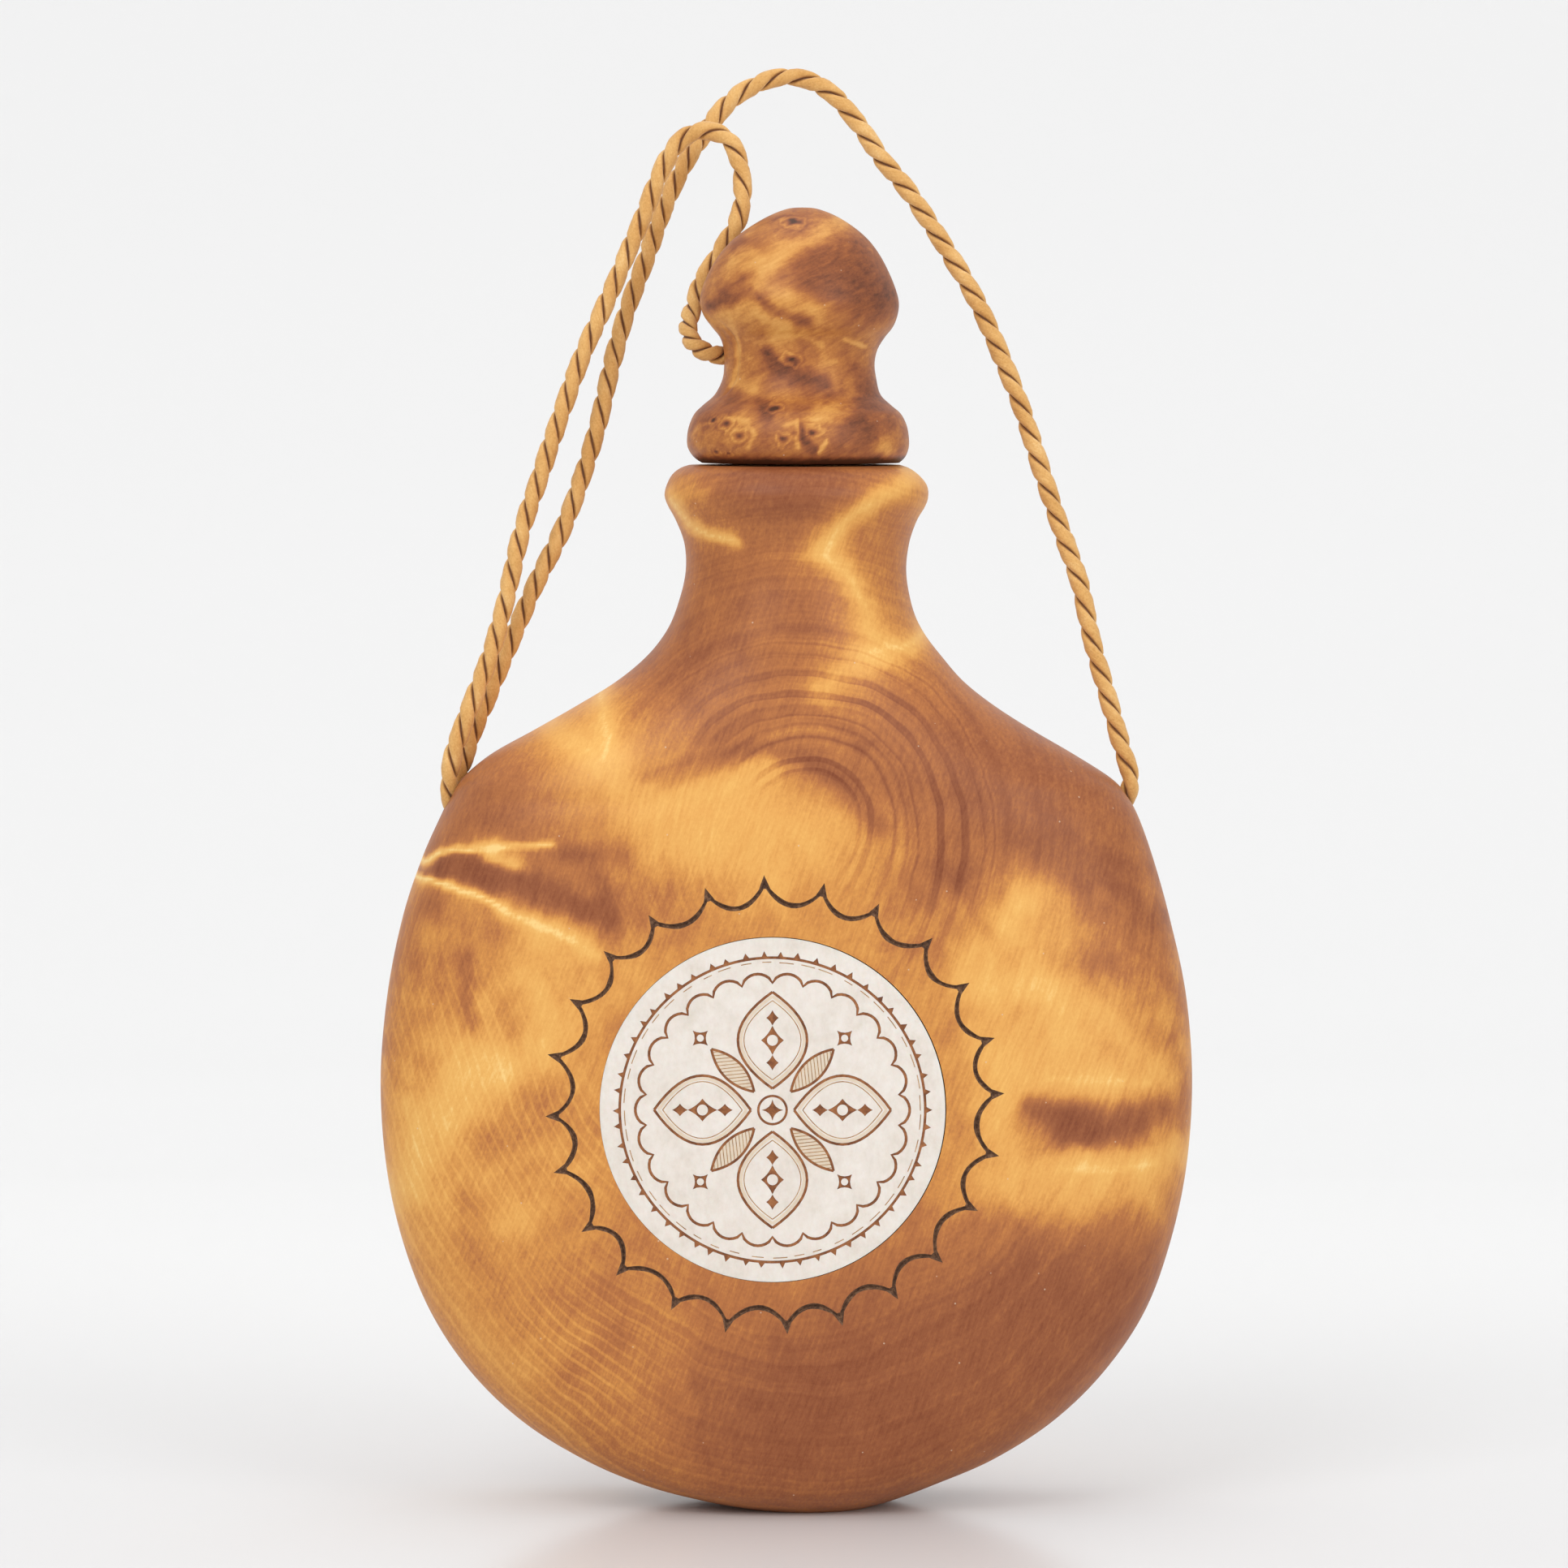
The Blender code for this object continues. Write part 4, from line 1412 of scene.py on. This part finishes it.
# Bud eyes of the burl: (angle round from the front in degrees, height, radius)
HEAD_EYES = [
    (-41, 183.7, 0.75), (-32, 181.7, 0.8), (-52, 184.2, 0.45), (-8, 181.2, 0.75), (7, 182.3, 0.7),
    (-48, 178.9, 0.5), (-13, 186.3, 0.75), (-6, 194.4, 0.8), (-12, 217.5, 1.0), (-40, 178.8, 0.3),
    (96, 182.0, 0.7), (112, 184.6, 0.5), (131, 180.6, 0.8), (158, 183.4, 0.6), (171, 181.0, 0.8),
    (-166, 184.2, 0.5), (-140, 181.8, 0.7), (-112, 183.2, 0.5), (150, 207.0, 0.9), (-120, 195.0, 0.7),
]


def head_figure(mm):
    """Light and dark of the burl at each place, with its bud eyes and a painted shade along its foot, where
    it meets the neck's rim.
    """
    x = mm[:, 0] + octaves(mm, 21, (0.5, 0.25), (0.25, 0.8))
    z = mm[:, 2] + octaves(mm, 23, (0.5, 0.25), (0.25, 0.8))
    front = 1 - smoothstep(mm[:, 1], -1.0, 5.0)
    drawn = drawn_figure(x, z, HEAD_PATCHES, HEAD_STREAKS, 0.8, 0.0)
    back = 0.5 * noise_field(np.stack([mm[:, 0], mm[:, 1], z + 0.4 * mm[:, 0]], 1), 0.1, 25) - 0.04
    mottle = octaves(mm, 26, (0.10, 0.28), (0.07, 0.7))
    eyes = np.zeros(len(x))
    rows = np.array(HEAD)
    for turn, height, size in HEAD_EYES:
        a = math.radians(turn)
        r = np.interp(height, rows[:, 0], rows[:, 1])
        cx = np.interp(height, rows[:, 0], rows[:, 2])
        centre = np.array([cx + r * math.sin(a), -r * math.cos(a), height])
        d = np.linalg.norm((mm - centre) * (0.8, 0.8, 1.2), axis=1) / size
        d = d * (1 + 0.7 * noise_field(mm + centre, 0.8, 28))
        eyes += 0.13 * np.exp(-((d - 1.6) / 0.28) ** 2) - 0.60 * np.exp(-((d / 0.75) ** 2))
        eyes -= 0.09 * np.exp(-((d - 2.3) / 0.35) ** 2)
    # Painted shade: the lowest part of the head, in the gap above the neck's rim, is darkened.
    foot_gap_shade = -0.5 * (1 - smoothstep(mm[:, 2], 177.2, 178.6))
    return squeezed(0.46 + front * drawn + (1 - front) * back + mottle) + eyes + foot_gap_shade


def burl_material():
    n = Nodes("burl_birch")
    fibre = n.noise(n.position((0.16, 0.4, 1.0), (0.0, 0.45, 0.0)), 1100.0, 5.0, 0.72, 0.3)
    cloud = n.noise(n.position((0.6, 0.8, 1.3), (0.0, 0.5, 0.0)), 260.0, 4.0, 0.6, 0.8)
    grain = n.noise(n.position(), 1900.0, 3.0, 0.65)
    tone = n.total(
        n.attribute("figure"), n.scaled(fibre, 0.56, 0.5), n.scaled(cloud, 0.30, 0.5),
        n.scaled(grain, 0.22, 0.5),
    )
    colour = n.ramp(tone, [
        (0.0, (76, 44, 28)), (0.16, (122, 68, 42)), (0.34, (156, 90, 50)), (0.52, (186, 118, 58)),
        (0.68, (212, 148, 74)), (0.85, (226, 168, 92)), (1.0, (236, 192, 128)),
    ])
    specks = n.span(n.voronoi(n.position(), 330.0), 0.03, 0.06, 0.6, 0.0)
    colour = n.mix(specks, colour, (214, 190, 164))
    height = n.total(n.scaled(fibre, 0.5), n.scaled(grain, 0.5))
    return n.set(
        Base_Color=colour, Roughness=0.44, Normal=n.bump(height, 0.00004, 0.6), Specular_IOR_Level=0.3,
    )


def lathe_rings(rows, step, sides):
    """Rings for (height, radius, axis x) rows."""
    angles = circle_angles(sides, 0.0)
    return [
        np.stack([cx + r * np.sin(angles), -r * np.cos(angles), np.full(sides, z)], 1)
        for z, r, cx in spline_rows(rows, step)
    ]


def dowel_cutter(name, low, high):
    """Bore for the peg between two heights."""
    radius = DOWEL_R + DOWEL_GAP
    return closed_object(name, [lathe_rings([(low, radius, NECK_X), (high, radius, NECK_X)], 100.0, 24)])


def crease(rings):
    """Presses the shallow drying crack into the stopper's waist."""
    angles = circle_angles(HEAD_SIDES, 0.0)
    for ring in rings:
        z = ring[0, 2]
        bend = CREASE_ANGLE + 0.07 * math.sin((z - 189) / 12 * math.pi)
        away = np.abs((angles - bend + math.pi) % (2 * math.pi) - math.pi)
        fade = smoothstep(z, 187.5, 190.5) * (1 - smoothstep(z, 198.5, 201.5))
        ring[:, :2] *= (1 - CREASE_DEPTH * fade * np.exp(-(away / CREASE_WIDTH) ** 2))[:, None]


def add_head():
    """Stopper's head with its crease, its cord hole and the bore for the peg."""
    rings = lathe_rings(HEAD + [(HEAD_TOP[0], 0.05, HEAD_TOP[1])], HEAD_STEP, HEAD_SIDES)
    crease(rings)
    head = closed_object("stopper_head_wood", [rings], burl_material())
    subtract(head, [
        cord_bore("cut_tether_hole", TETHER_HOLE[::-1] + TETHER_RUN[:-3:-1]),
        dowel_cutter("cut_head_socket", DOWEL_Z[0] - 12, DOWEL_Z[1] + DOWEL_GAP),
    ])
    head.data.set_sharp_from_angle(angle=math.radians(40))
    set_attribute(head.data, "figure", head_figure(vertices_mm(head.data)))
    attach(head, "stopper")
    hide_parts("stopper_head")


def cork_material():
    n = Nodes("cork")
    cells = n.voronoi(n.position((1.0, 1.0, 0.7)), 620.0)
    pits = n.span(n.noise(n.position((1.0, 1.0, 0.6)), 420.0, 3.0, 0.7), 0.34, 0.44)
    tone = n.total(n.scaled(cells, 0.5), n.noise(n.position(), 900.0, 3.0, 0.6))
    colour = n.ramp(tone, [(0.45, (168, 118, 74)), (0.7, (200, 152, 104)), (0.95, (222, 182, 136))])
    colour = n.mix(n.scaled(n.math("SUBTRACT", 1.0, pits), 0.8), colour, (92, 56, 34))
    height = n.total(n.scaled(pits, 0.7), n.scaled(tone, 0.3))
    return n.set(Base_Color=colour, Roughness=0.85, Normal=n.bump(height, 0.0002, 0.8))


def add_cork():
    rings = lathe_rings([(z, r, NECK_X) for z, r in CORK], 0.8, 96)
    cork = closed_object("cork_plug", [rings], cork_material())
    subtract(cork, [dowel_cutter("cut_cork_socket", DOWEL_Z[0] - DOWEL_GAP, 190.0)])
    cork.data.set_sharp_from_angle(angle=math.radians(40))
    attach(cork, "stopper")
    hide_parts("stopper_cork")


def dress_plain_nodes():
    """Raw wood on the two hidden CAD nodes that stay."""
    raw = bpy.data.materials["raw_birch"]
    for name in ("closing_board", "cork_dowel"):
        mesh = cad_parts[name].data
        mesh.materials.clear()
        mesh.materials.append(raw)


add_head()
add_cork()
dress_plain_nodes()


# ---------------------------------------------------------------- floor and light

FLOOR_FRONT = -3.0
FLOOR_HALF = 4.0
SWEEP_START = 0.5
SWEEP_R = 1.2
WALL_TOP = 4.0
LIT_PLACE = (0.0, 0.0, 0.1)


def sweep_floor():
    """Pale paper that lies flat, then curves up far behind the flask."""
    profile = [(FLOOR_FRONT, 0.0), (SWEEP_START, 0.0)]
    for k in range(1, 13):
        a = math.pi / 2 * k / 12
        profile.append((SWEEP_START + SWEEP_R * math.sin(a), SWEEP_R - SWEEP_R * math.cos(a)))
    profile.append((SWEEP_START + SWEEP_R, WALL_TOP))
    verts = [(x, y, z) for y, z in profile for x in (-FLOOR_HALF, FLOOR_HALF)]
    faces = [(2 * i, 2 * i + 1, 2 * i + 3, 2 * i + 2) for i in range(len(profile) - 1)]
    n = Nodes("paper_floor")
    split = n.fill(n.node("ShaderNodeSeparateXYZ"), Vector=n.position())
    # Painted shade: the paper is coloured darker towards the front and lighter up the sweep behind.
    colour = n.mix(n.span(split["Y"], -0.1, 0.4), (230, 230, 231), (246, 246, 246))
    paper = n.set(Base_Color=colour, Roughness=0.2, Specular_IOR_Level=0.22)
    floor = new_object("floor", mesh_from("floor", verts, faces), paper)


def area_light(name, location, size, power):
    data = bpy.data.lights.new(name, "AREA")
    data.shape = "RECTANGLE"
    data.size, data.size_y = size
    data.energy = power
    light = new_object(name, data)
    light.location = location
    light.rotation_euler = (Vector(LIT_PLACE) - Vector(location)).to_track_quat("-Z", "Y").to_euler()


def add_light():
    world = bpy.data.worlds.new("world")
    bpy.context.scene.world = world
    world.use_nodes = True
    background = world.node_tree.nodes["Background"]
    background.inputs["Color"].default_value = (1.0, 1.0, 1.0, 1.0)
    background.inputs["Strength"].default_value = 0.66
    area_light("key", (-0.9, -1.6, 1.5), (1.2, 1.2), 15)
    area_light("fill", (1.2, -1.4, 0.9), (1.0, 1.4), 10)
    area_light("top", (0.0, 0.2, 1.9), (1.4, 1.4), 7)
    bpy.context.scene.view_settings.view_transform = "Standard"


sweep_floor()
add_light()
